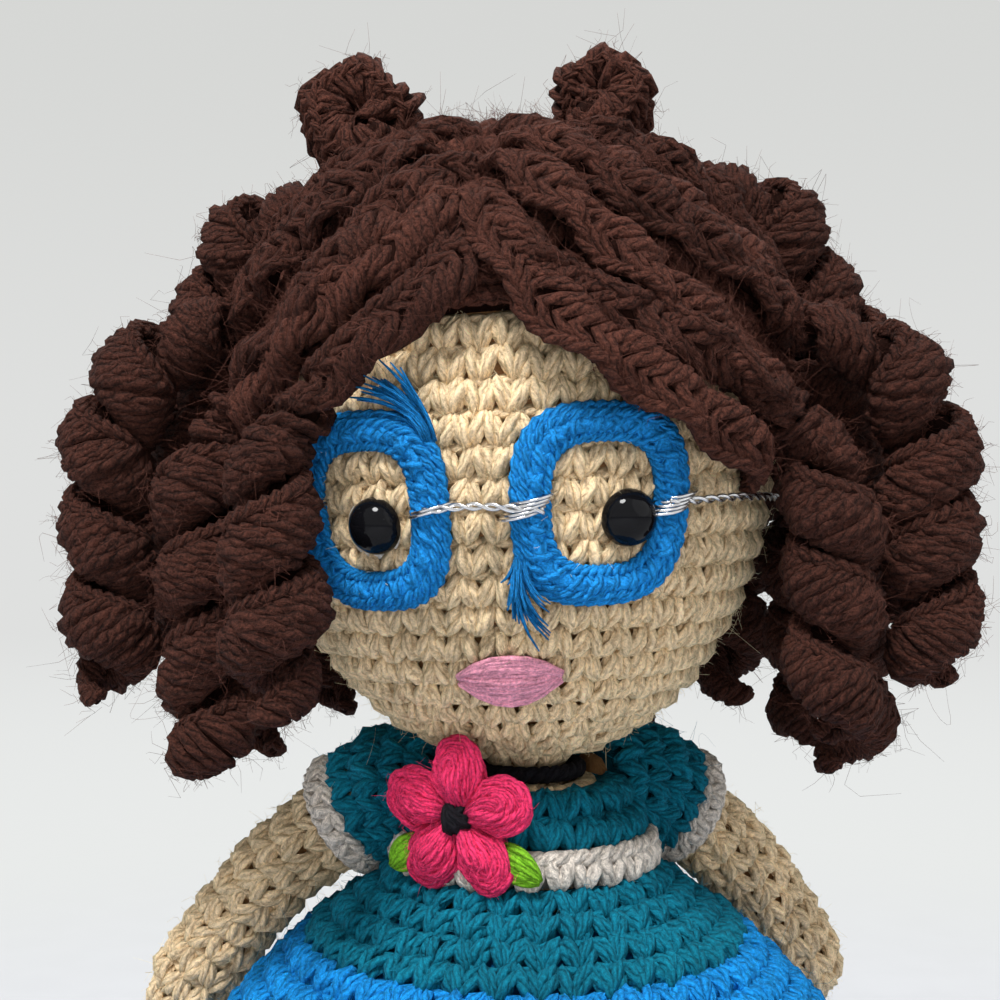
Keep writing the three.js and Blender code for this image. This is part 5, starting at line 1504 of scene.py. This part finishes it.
class DOLL_OT_dress(bpy.types.Operator):
    """Crochet the torso, bodice, waistband, collar and skirt"""

    bl_idname = "doll.dress"
    bl_label = "Dress"

    def execute(self, context):
        worked_round(100, "crochet_torso", TORSO, stitch("skin"), "Skin yarn", "torso", "torso_shell", "tan_yarn",
                     ("torso_lining", "Skin lining", TORSO_INSIDE), first=1.5, segments=28, fill=0.9, lift=-0.8)
        filled = lining("fill_torso", TORSO_FILL, felted("Stuffing"), 28)
        place(filled, "torso", ["torso_stuffing"], "stuffing")
        worked_round(101, "crochet_bodice", BODICE, (stitch("dress")[0], 4.4), "Teal yarn", "torso", "bodice",
                     "teal_yarn", ("bodice_lining", "Teal lining", BODICE_INSIDE), lift=-0.4, plies=3)
        worked_round(102, "crochet_waistband", WAISTBAND, (4.6, 5.0), "Cream yarn", "torso", "waistband", "cream_yarn",
                     ("waistband_lining", "Cream lining", WAISTBAND_INSIDE), lift=0.1,
                     edging=lambda work: ring_chain(work, 20.6, 88.0, 0.95, 26))
        work = Yarnwork(103)
        ring_chain(work, 8.7, 98.9, 1.0, 14)
        hand_over(work, "yarn_collar", [yarn("Black yarn")], "torso", "collar", "black_yarn")
        self.skirt("skirt_yoke", SEAM_Z, SKIRT_LENGTH, "teal", 104, 3, lambda row, rows: 0 if row >= rows - 4 else 1)
        self.skirt("skirt_flare", 0.9, SEAM_Z, "azure", 105, 1,
                   lambda row, rows: 2 if row == 0 else (0 if 3 <= row <= 5 else 1))
        return {"FINISHED"}

    def skirt(self, node, low, high, hue, seed, plies, slot_at):
        work = Yarnwork(seed)
        bell = Rounds(skirt_outline(low, high, 0.9), fold=skirt_fold)
        crochet(work, bell, 0, bell.end, *stitch("dress"), slot_at=slot_at, drift=0.2, plies=plies)
        outer = [tuple(p) for p in skirt_outline(low + 0.2, high - 0.2, 1.9)[::3]]
        inner = [(r - 1.4, z) for r, z in outer[::-1]]
        name = f"crochet_{node}"
        finishes = [yarn(f"{hue} yarn") for hue in ("Teal", "Azure", "Cream")]
        hand_over(work, name, finishes[: 2 if node == "skirt_yoke" else 3], "torso", node, f"{hue}_yarn", fuzz=hue,
                  inside=lambda: lining(f"{name}_lining", outer + inner + outer[:1], felted("Skirt lining"), 96,
                                        skirt_fold))


# Arms and sleeves

SHOULDER_Z = 95.2
ARM_SPAN, ARM_DROP = 59.5, 37.0
ARM_BACK = {"right": math.radians(16), "left": math.radians(32)}
# The arm's middle, as shares of its span out and of its drop down
ARM_LINE = ((0.2, 0), (0.42, 0.07), (0.68, 0.34), (0.87, 0.66), (1, 1))
ARM_RADIUS, HAND_RADIUS = 6.2, 7.1
ARM_SWELL = ([0, 0.3, 0.6, 0.85, 1], [0.98, 1.03, 1.0, 0.95, 0.96])
# The sleeve ends so far out from the doll's middle
SLEEVE_END, SLEEVE_RADIUS = 29.0, 10.6
SLEEVE_PUFF = ([0, 0.25, 0.5, 0.75, 1], [0.84, 0.98, 1, 0.97, 0.86])
CUFF_RADIUS, CUFF_BEATS = 8.9, 13


def arm_line(side, count=120):
    """The middle of an arm from the shoulder to the middle of the hand, evenly spaced."""
    knots = np.array([(side * out * ARM_SPAN, 0, SHOULDER_Z - down * ARM_DROP) for out, down in ARM_LINE])
    ends = np.vstack([2 * knots[0] - knots[1], knots, 2 * knots[-1] - knots[-2]])
    t = np.linspace(0, 1, 40, endpoint=False)[:, None]
    fine = [
        0.5 * (2 * b + (c - a) * t + (2 * a - 5 * b + 4 * c - d) * t**2 + (3 * b - 3 * c + d - a) * t**3)
        for a, b, c, d in zip(ends, ends[1:], ends[2:], ends[3:])
    ]
    fine = np.vstack([*fine, knots[-1:]])
    run = run_along(fine)
    even = np.linspace(0, run[-1], count)
    return read_points(even, run, fine), even


def hang_back(line, radii, side, name):
    """An arm's line, made in the plane of the doll's sides, turned towards its back."""
    c, s = math.cos(side * ARM_BACK[name]), math.sin(side * ARM_BACK[name])
    return LimbRounds(line @ np.array([[c, s, 0], [-s, c, 0], [0, 0, 1]]), radii, (-s, c, 0.0))


class DOLL_OT_arms(bpy.types.Operator):
    """Crochet the arms, the puffed sleeves and their cuffs"""

    bl_idname = "doll.arms"
    bl_label = "Arms"

    def execute(self, context):
        for i, (name, side) in enumerate(SIDES):
            line, run = arm_line(side)
            self.arm(name, side, line, run, 110 + i)
            end = np.interp(SLEEVE_END, np.abs(line[:, 0]), run)
            self.sleeve(name, side, line, run, end, 120 + i)
            self.cuff(name, side, line, run, end, 130 + i)
        return {"FINISHED"}

    def arm(self, name, side, line, run, seed):
        share = run / run[-1]
        radii = mix(ARM_RADIUS * np.interp(share, *ARM_SWELL), HAND_RADIUS, smooth((share - 0.78) / 0.2))
        tip = np.linspace(0, math.pi / 2, 24)[1:]
        reach = unit(line[-1] - line[-4]) * (HAND_RADIUS * np.sin(tip))[:, None]
        radii = np.concatenate([radii, HAND_RADIUS * np.cos(tip)])
        limb = hang_back(np.vstack([line, line[-1] + reach]), radii - 0.5, side, name)
        work = Yarnwork(seed)
        crochet(work, limb, 8.5, limb.end - 0.6, 4.3, stitch("skin")[1], fat=1.1, plies=3)
        # A core inside the stitches in the skin lining's painted shade, seen in the pits.
        inside = np.maximum(radii - 1.2, 0.3)[::4]
        work.lay(limb.line[::4], inside, limb.cross, slot=1, sides=14, fuzzy=False)
        hand_over(work, f"crochet_arm_{name}", [yarn("Skin yarn"), felted("Skin lining")], f"arm_{name}",
                  f"arm_{name}", "tan_yarn", fuzz="limb")

    def sleeve(self, name, side, line, run, end, seed):
        part = np.linspace(run[0] + 1.5, end, 40)
        puff = SLEEVE_RADIUS * np.interp(part / end, *SLEEVE_PUFF)
        sleeve = hang_back(read_points(part, run, line), puff - 0.9, side, name)
        work = Yarnwork(seed)
        crochet(work, sleeve, 0, sleeve.end, 4.8, 4.6, drift=0.4, plies=3)
        # A core inside the sleeve in the teal lining's painted shade, seen between the stitches.
        work.lay(sleeve.line[::5], (puff - 2.0)[::5], sleeve.cross, slot=1, sides=16, fuzzy=False)
        hand_over(work, f"crochet_sleeve_{name}", [yarn("Teal yarn"), felted("Teal lining")], f"arm_{name}",
                  f"sleeve_{name}", "teal_yarn", fuzz="teal")

    def cuff(self, name, side, line, run, end, seed):
        part = np.linspace(end + 0.2, end + 3.9, 12)
        cuff = hang_back(read_points(part, run, line), np.full(12, CUFF_RADIUS), side, name)
        work = Yarnwork(seed)
        crochet(work, cuff, 0, cuff.end, 4.2, 4.2, lift=0.1)
        turn = np.linspace(0, TURN, CUFF_BEATS * 6 + 1)
        for rise in (0.4, 3.4):

            def edge(c, s):
                point, outward = cuff.at(rise + 0.45 * s, turn)
                return point + outward * (0.5 + 0.45 * c)[:, None], outward

            work.chain(CUFF_BEATS * turn, edge, 0.85, sides=6)
        hand_over(work, f"crochet_cuff_{name}", [yarn("Cream yarn")], f"arm_{name}", f"cuff_{name}", "cream_yarn")


# Legs and shoes

LEG_ASIDE = 9.75
LEG = [(5.0, 9.0), (5.6, 13), (6.2, 22), (7.0, 34), (7.5, 44), (7.5, 49), (6.6, 53), (4.0, 56), (0.6, 56.7)]
LEG_INSIDE = [(0.02, 9.5), (4.6, 9.8), (5.2, 16), (6.4, 36), (6.8, 48), (5.6, 53), (0.02, 55.6)]
# The inside of a shoe: how far back and up, and its radius
SHOE_INSIDE = ((-3, 2.9, 5.4), (-3, 3.4, 6.4), (-2.4, 7.5, 6.2), (-1.6, 10.2, 4.6))


class DOLL_OT_legs(bpy.types.Operator):
    """Crochet the legs and shoes under the skirt"""

    bl_idname = "doll.legs"
    bl_label = "Legs"

    def execute(self, context):
        for i, (name, side) in enumerate(SIDES):
            x = side * LEG_ASIDE
            worked_round(140 + i, f"crochet_leg_{name}", LEG, (4.2, stitch("skin")[1]), "Skin yarn", f"leg_{name}",
                         f"leg_{name}", "tan_yarn", (f"leg_lining_{name}", "Skin lining", LEG_INSIDE), short=1.0,
                         centre=(x, 0), segments=20, fill=0.8, lift=-0.2)
            work = Yarnwork(150 + i)
            shoe = ShoeRounds(x)
            crochet(work, shoe, 0, shoe.end, 4.4, 3.9, fat=0.9)
            # A core inside the shoe in the black lining's painted shade, seen between the stitches.
            middle = np.array([(x, y, z) for y, z, _ in SHOE_INSIDE])
            work.lay(middle, [radius for *_, radius in SHOE_INSIDE], [1.0, 0.0, 0.0], slot=1, sides=16, flat=1.35,
                     fuzzy=False)
            hand_over(work, f"crochet_shoe_{name}", [yarn("Black yarn"), felted("Black lining")], f"leg_{name}",
                      f"shoe_{name}", "black_yarn")
        return {"FINISHED"}


# Flower

FLOWER_TURN = math.radians(-28)
FLOWER_DEPTH, FLOWER_Z = 19.5, 94.35
LEAF_RADII = np.array([0.5, 0.62, 0.7, 0.74, 0.74, 0.7, 0.62, 0.5, 0.3])


def over_flower(turn, out, aside, lift):
    """A place over the flower: out from its middle along a turn, aside from that, and lift off the bodice."""
    x = out * math.cos(turn) - aside * math.sin(turn)
    y = out * math.sin(turn) + aside * math.cos(turn)
    x, y, lift = np.broadcast_arrays(x, y, lift)
    c, s = math.cos(FLOWER_TURN), math.sin(FLOWER_TURN)
    spin = np.array([[c, -s, 0], [s, c, 0], [0, 0, 1]])
    flat = np.stack([x, -(FLOWER_DEPTH + lift), y + FLOWER_Z], -1)
    return flat @ spin.T, np.broadcast_to(np.array([0, -1.0, 0]) @ spin.T, flat.shape)


class DOLL_OT_flower(bpy.types.Operator):
    """Wind the flower's looped petals, its dark button and its leaves"""

    bl_idname = "doll.flower"
    bl_label = "Flower"

    PETALS, LOOPS, BUTTON_STROKES = 5, 5, 9

    def execute(self, context):
        work = Yarnwork(160)
        for petal in range(self.PETALS):
            turn = TURN * (petal + 0.25) / self.PETALS
            self.petal(work, turn)
        hand_over(work, "looped_petals", [yarn("Pink yarn")], "torso", "flower_petals", "pink_yarn", fuzz="pink")
        self.button()
        for i, (name, side) in enumerate(SIDES):
            self.leaf(name, -math.pi / 2 + side * math.radians(56), 162 + i)
        return {"FINISHED"}

    def petal(self, work, turn):
        """Loops of loose yarn, each inside and over the last, on a bed of plainer ones."""
        rng = work.rng
        swing = math.pi * (np.linspace(0, 1, 15) - 0.5)
        for loop in range(self.LOOPS):
            share = loop / (self.LOOPS - 1)
            reach = mix(11.8, 8.2, share) * rng.uniform(0.95, 1.05)
            half = mix(3.9, 0.5, share) * rng.uniform(0.92, 1.08)
            out = 2.2 + (reach - 2.2) * np.cos(swing) ** 0.55
            aside = half * np.sign(swing) * np.abs(np.sin(swing)) ** 0.8
            aside = aside * (0.35 + 0.65 * smooth((out - 2.0) / 5.0))
            arch = np.sin(math.pi * np.clip((out - 1.4) / (reach + 0.6), 0, 1))
            lift = 2.6 + mix(0.2, 2.8, share) * arch + rng.uniform(-0.4, 0.4)
            point, outward = over_flower(turn, out, aside, lift)
            work.lay_plied(point[None], 1.05 * rng.uniform(0.92, 1.06), outward[None], splay=0.55, turns=1.2)
        swing = math.pi * (np.linspace(0, 1, 12) - 0.5)
        for loop in range(self.LOOPS):
            out = 2.4 + 7.6 * np.cos(swing) ** 0.6
            aside = mix(3.6, 0.6, loop / (self.LOOPS - 1)) * np.sin(swing) * smooth((out - 1.0) / 5.0)
            point, outward = over_flower(turn, out, aside, 1.2)
            work.lay(point, 0.86, outward, fuzzy=False)

    def button(self):
        work = Yarnwork(161)
        s = np.linspace(-1, 1, 8)
        for k in range(self.BUTTON_STROKES):
            lift = 2.6 + 2.3 * np.sqrt(np.maximum(0, 1 - s**2)) + 0.15 * (k % 4)
            point, outward = over_flower(k * math.pi / 4.5 + 0.3, 2.3 * s, (k % 3 - 1) * 0.9, lift)
            work.lay(point, 0.8, outward)
        hand_over(work, "yarn_button", [yarn("Black yarn")], "torso", "flower_button", "black_yarn")

    def leaf(self, name, turn, seed):
        work = Yarnwork(seed)
        s = np.linspace(0, 1, 9)
        for k in range(-3, 4):
            aside = k * 0.72 * np.sin(math.pi * np.clip(s * 0.92 + 0.06, 0, 1)) ** 0.7
            lift = 1.5 + 0.9 * np.sin(math.pi * s) - 0.16 * abs(k) + 0.2 * (k % 2)
            point, outward = over_flower(turn, 7.6 + 8.2 * s, aside, lift)
            work.lay(point, LEAF_RADII, outward)
        hand_over(work, f"yarn_leaf_{name}", [yarn("Green yarn")], "torso", f"flower_leaf_{name}", "green_yarn")


# Stray fibres

# Each kind's yarn colour, material slot, share of the hair's number and size
FIBRE_KINDS = {
    "hair": ("hair", "brown_yarn", 1.0, 1.0),
    "skin": ("skin", "tan_yarn", 0.16, 0.62),
    "limb": ("skin", "tan_yarn", 0.035, 0.62),
    "teal": ("yoke", "teal_yarn", 0.09, 0.75),
    "azure": ("flare", "azure_yarn", 0.1, 0.75),
    "pink": ("flower", "pink_yarn", 0.02, 0.7),
}
SLEEVE_SHARE = 0.25
FIBRES_IN_A_PIECE = 9600
# Only fibres that stand clear of the hair: how far they must turn away from the head's middle
HAIR_OUTWARD = 0.3


class DOLL_OT_strays(bpy.types.Operator):
    """Raise stray fibres out of the yarn"""

    bl_idname = "doll.strays"
    bl_label = "Stray fibres"

    def execute(self, context):
        lots = {}
        for work, body, kind in FUZZY:
            lots.setdefault((body, kind), []).append(work)
        for lot, ((body, kind), works) in enumerate(lots.items()):
            points = np.concatenate([p for w in works for p in w.roots])
            outward = np.concatenate([o for w in works for o in w.roots_outward])
            source, slot, share, size = FIBRE_KINDS[kind]
            if kind == "hair":
                away = points - at_head([0, 0, HEAD_RISE])
                seen = (away * outward).sum(-1) > HAIR_OUTWARD * np.linalg.norm(away, axis=-1)
                points, outward = points[seen], outward[seen]
            on_sleeve = kind == "teal" and body.startswith("arm")
            count = int(context.scene.doll_hair.strays * share * (SLEEVE_SHARE if on_sleeve else 1))
            parts = math.ceil(count / FIBRES_IN_A_PIECE)
            # Painted light: the stray fibres are drawn lighter than their yarn, for the light that they catch.
            colour = tuple(min(1, x * 1.4 + 0.012) for x in colour_of(source))
            finish = matted(f"Stray {slot.replace('_', ' ')}", colour, 0)
            for part in range(parts):
                name = f"stray_{kind}_fibres_{body}" + (f"_{part + 1}" if parts > 1 else "")
                work = Yarnwork(200 + 10 * lot + part)
                self.raise_fibres(work, points, outward, count // parts, size)
                place(work.make(name, [finish]), body, [], slot)
        return {"FINISHED"}

    def raise_fibres(self, work, points, outward, count, size):
        """Short fuzz all over, and now and then a long curly fibre."""
        rng = work.rng
        for number, steps, middle, spread, thick in ((count, 4, 1.5, 0.45, 0.032), (count // 60, 13, 3.2, 0.35, 0.022)):
            pick = rng.integers(0, len(points), number)
            base, out = points[pick], outward[pick]
            reach = np.clip(middle * size * rng.lognormal(0, spread, number), 0.5, 6.5)[:, None, None]
            heading = unit(out + 0.9 * rng.normal(0, 1, (number, 3)))
            inward = (heading * out).sum(-1, keepdims=True) < 0.15
            heading = np.where(inward, unit(heading + 1.2 * out), heading)[:, None]
            bend, coil, kink = rng.normal(0, 0.75, (3, number, 1, 3))
            share = np.linspace(0, 1, steps)[None, :, None]
            slow, quick = rng.uniform(0.5, 1.0, (number, 1, 1)), rng.uniform(1.2, 2.2, (number, 1, 1))
            swing = np.sin(TURN * share * slow) * coil * 0.62 + np.sin(TURN * share * quick) * kink * 0.13
            paths = base[:, None] - 0.25 * out[:, None] + reach * (heading * share + bend * share**2 * 0.8 + swing)
            paths[..., 2] = np.maximum(paths[..., 2], 0.1)
            radii = thick * np.interp(np.linspace(0, 1, steps), [0, 0.6, 1], [1.0, 0.85, 0.45])
            work.lay(paths, radii, out[:, None] + 0.01, sides=3, fuzzy=False)


class DOLL_OT_hidden_finishes(bpy.types.Operator):
    """Give the solids that stay, the dowel and the washers, their finishes"""

    bl_idname = "doll.hidden_finishes"
    bl_label = "Hidden finishes"

    def execute(self, context):
        wood, plastic = plain_wood("Dowel wood"), washer_plastic("Washer plastic")
        for name, finish in (("neck_dowel", wood), ("eye_washer_right", plastic), ("eye_washer_left", plastic)):
            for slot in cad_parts[name].material_slots:
                slot.material = finish
        return {"FINISHED"}


# Stage: lamps by name, with their place in metres, size and power, and whether shiny pieces reflect them

LAMPS = (
    ("Key light", (-0.22, -0.56, 1.06), 0.36, 15.6, True),
    ("Fill light", (0.9, -0.45, 0.7), 1.4, 2.6, True),
    ("Table light", (0.05, -0.9, 0.06), 0.7, 2.0, False),
    ("Rim light", (0.1, 0.9, 0.9), 0.8, 5.0, True),
)
LAMP_TARGET = (0, 0, 0.13)
FLOOR_RADIUS, FLOOR_Z = 4.0, -0.0004


class DOLL_OT_stage(bpy.types.Operator):
    """Set up the camera, the pale floor and the lights"""

    bl_idname = "doll.stage"
    bl_label = "Stage"

    def execute(self, context):
        stage = context.scene.doll_stage
        camera = bpy.data.objects.new("Camera", bpy.data.cameras.new("Camera"))
        context.collection.objects.link(camera)
        camera.location = (-stage.aside, -stage.distance, stage.eye_height)
        camera.rotation_euler = (math.pi / 2, 0, 0)
        camera.data.lens = camera.data.sensor_width / 2 / math.tan(stage.view_angle / 2)
        camera.data.clip_start = 0.01
        context.scene.camera = camera
        context.scene.view_settings.view_transform = "Standard"
        self.floor(stage)
        self.sky(stage)
        for lamp in LAMPS:
            self.lamp(*lamp)
        return {"FINISHED"}

    def floor(self, stage):
        """A pale floor that glows into the backdrop far from the doll, for the camera only."""
        fresh()
        bpy.ops.mesh.primitive_circle_add(vertices=96, radius=FLOOR_RADIUS, fill_type="NGON", location=(0, 0, FLOOR_Z))
        floor = bpy.context.object
        floor.name = "Floor"
        settle(floor)
        material, nodes, shader = new_finish("Pale floor")
        spot = nodes.spot()
        distance = nodes.feed(nodes.add("ShaderNodeVectorMath", operation="LENGTH"), (spot,)).outputs["Value"]
        shown = nodes.add("ShaderNodeLightPath").outputs["Is Camera Ray"]
        far = nodes.times(nodes.span(distance, 0.12, 0.42, 0.0, 1.0), shown)
        grain = nodes.span(nodes.noise(spot, 60.0, 3.0), *EVEN)
        base = nodes.blend(grain, (*paint(196, 197, 200), 1), (*paint(199, 200, 203), 1))
        nodes.feed(shader, {"Base Color": base, "Roughness": 0.8, "Specular IOR Level": 0.1})
        # The glow is painted light: paler near the doll, fading to the backdrop's colour far off.
        fading = nodes.span(distance, 0.3, 1.6, 0.0, 1.0)
        pale = nodes.blend(fading, (*paint(233, 235, 234), 1), (*stage.backdrop, 1))
        glow = nodes.feed(nodes.add("ShaderNodeEmission"), {"Color": pale})
        self.surface(nodes, "OUTPUT_MATERIAL", far, shader, glow)
        floor.data.materials.append(material)

    def sky(self, stage):
        """A soft room that lights from above, with the backdrop where it is seen."""
        world = bpy.data.worlds.new("Soft room")
        bpy.context.scene.world = world
        world.use_nodes = True
        nodes = Nodes(world.node_tree)
        generated = nodes.add("ShaderNodeTexCoord").outputs["Generated"]
        height = nodes.feed(nodes.add("ShaderNodeSeparateXYZ"), (generated,)).outputs[2]
        light = nodes.first("BACKGROUND")
        nodes.feed(light, {"Color": (0.93, 0.96, 1.0, 1), "Strength": nodes.span(height, 0.0, 0.85, 0.14, 0.56)})
        rising = nodes.span(height, 0.0, 0.32, 0.0, 1.0)
        backdrop = nodes.blend(rising, (*stage.backdrop, 1), (*paint(214, 215, 213), 1))
        seen = nodes.feed(nodes.add("ShaderNodeBackground"), {"Color": backdrop})
        rays = nodes.add("ShaderNodeLightPath").outputs
        mirrored = nodes.maths("MAXIMUM", rays["Is Glossy Ray"], rays["Is Transmission Ray"])
        shown = nodes.maths("MAXIMUM", rays["Is Camera Ray"], mirrored)
        self.surface(nodes, "OUTPUT_WORLD", shown, light, seen)

    def surface(self, nodes, output, share, first, second):
        """Joins the blend of two shaders to the output."""
        blend = nodes.feed(nodes.add("ShaderNodeMixShader"), (share, first.outputs[0], second.outputs[0]))
        nodes.feed(nodes.first(output), {"Surface": blend.outputs[0]})

    def lamp(self, name, spot, size, power, mirrored):
        data = bpy.data.lights.new(name, "AREA")
        data.shape, data.size, data.energy = "DISK", size, power
        lamp = bpy.data.objects.new(name, data)
        bpy.context.collection.objects.link(lamp)
        lamp.location = spot
        lamp.rotation_mode = "QUATERNION"
        lamp.rotation_quaternion = (Vector(LAMP_TARGET) - Vector(spot)).to_track_quat("-Z", "Y")
        lamp.visible_glossy = mirrored


class DOLL_PT_panel(bpy.types.Panel):
    """The doll's sizes, colours and pieces"""

    bl_idname = "DOLL_PT_panel"
    bl_label = "Crocheted doll"
    bl_space_type = "VIEW_3D"
    bl_region_type = "UI"
    bl_category = "Doll"

    def draw(self, context):
        for key, _ in GROUPS:
            group = getattr(context.scene, key)
            box = self.layout.box()
            for field in group.bl_rna.properties.keys():
                if field not in ("rna_type", "name"):
                    box.prop(group, field)
        for step in STEPS:
            self.layout.operator(step.bl_idname)


GROUPS = (
    ("doll_colours", DollColours), ("doll_stitches", DollStitches), ("doll_hair", DollHair), ("doll_stage", DollStage),
)
STEPS = (
    DOLL_OT_stage, DOLL_OT_head, DOLL_OT_eyes, DOLL_OT_mouth, DOLL_OT_spectacles, DOLL_OT_wire, DOLL_OT_hair,
    DOLL_OT_dress, DOLL_OT_arms, DOLL_OT_legs, DOLL_OT_flower, DOLL_OT_strays, DOLL_OT_hidden_finishes,
)


def register():
    for key, group in GROUPS:
        bpy.utils.register_class(group)
        setattr(bpy.types.Scene, key, bpy.props.PointerProperty(type=group))
    for step in (*STEPS, DOLL_PT_panel):
        bpy.utils.register_class(step)


def unregister():
    for step in reversed((*STEPS, DOLL_PT_panel)):
        bpy.utils.unregister_class(step)
    for key, group in reversed(GROUPS):
        delattr(bpy.types.Scene, key)
        bpy.utils.unregister_class(group)


def main():
    register()
    for step in STEPS:
        group, _, call = step.bl_idname.partition(".")
        getattr(getattr(bpy.ops, group), call)()


if __name__ == "__main__":
    main()
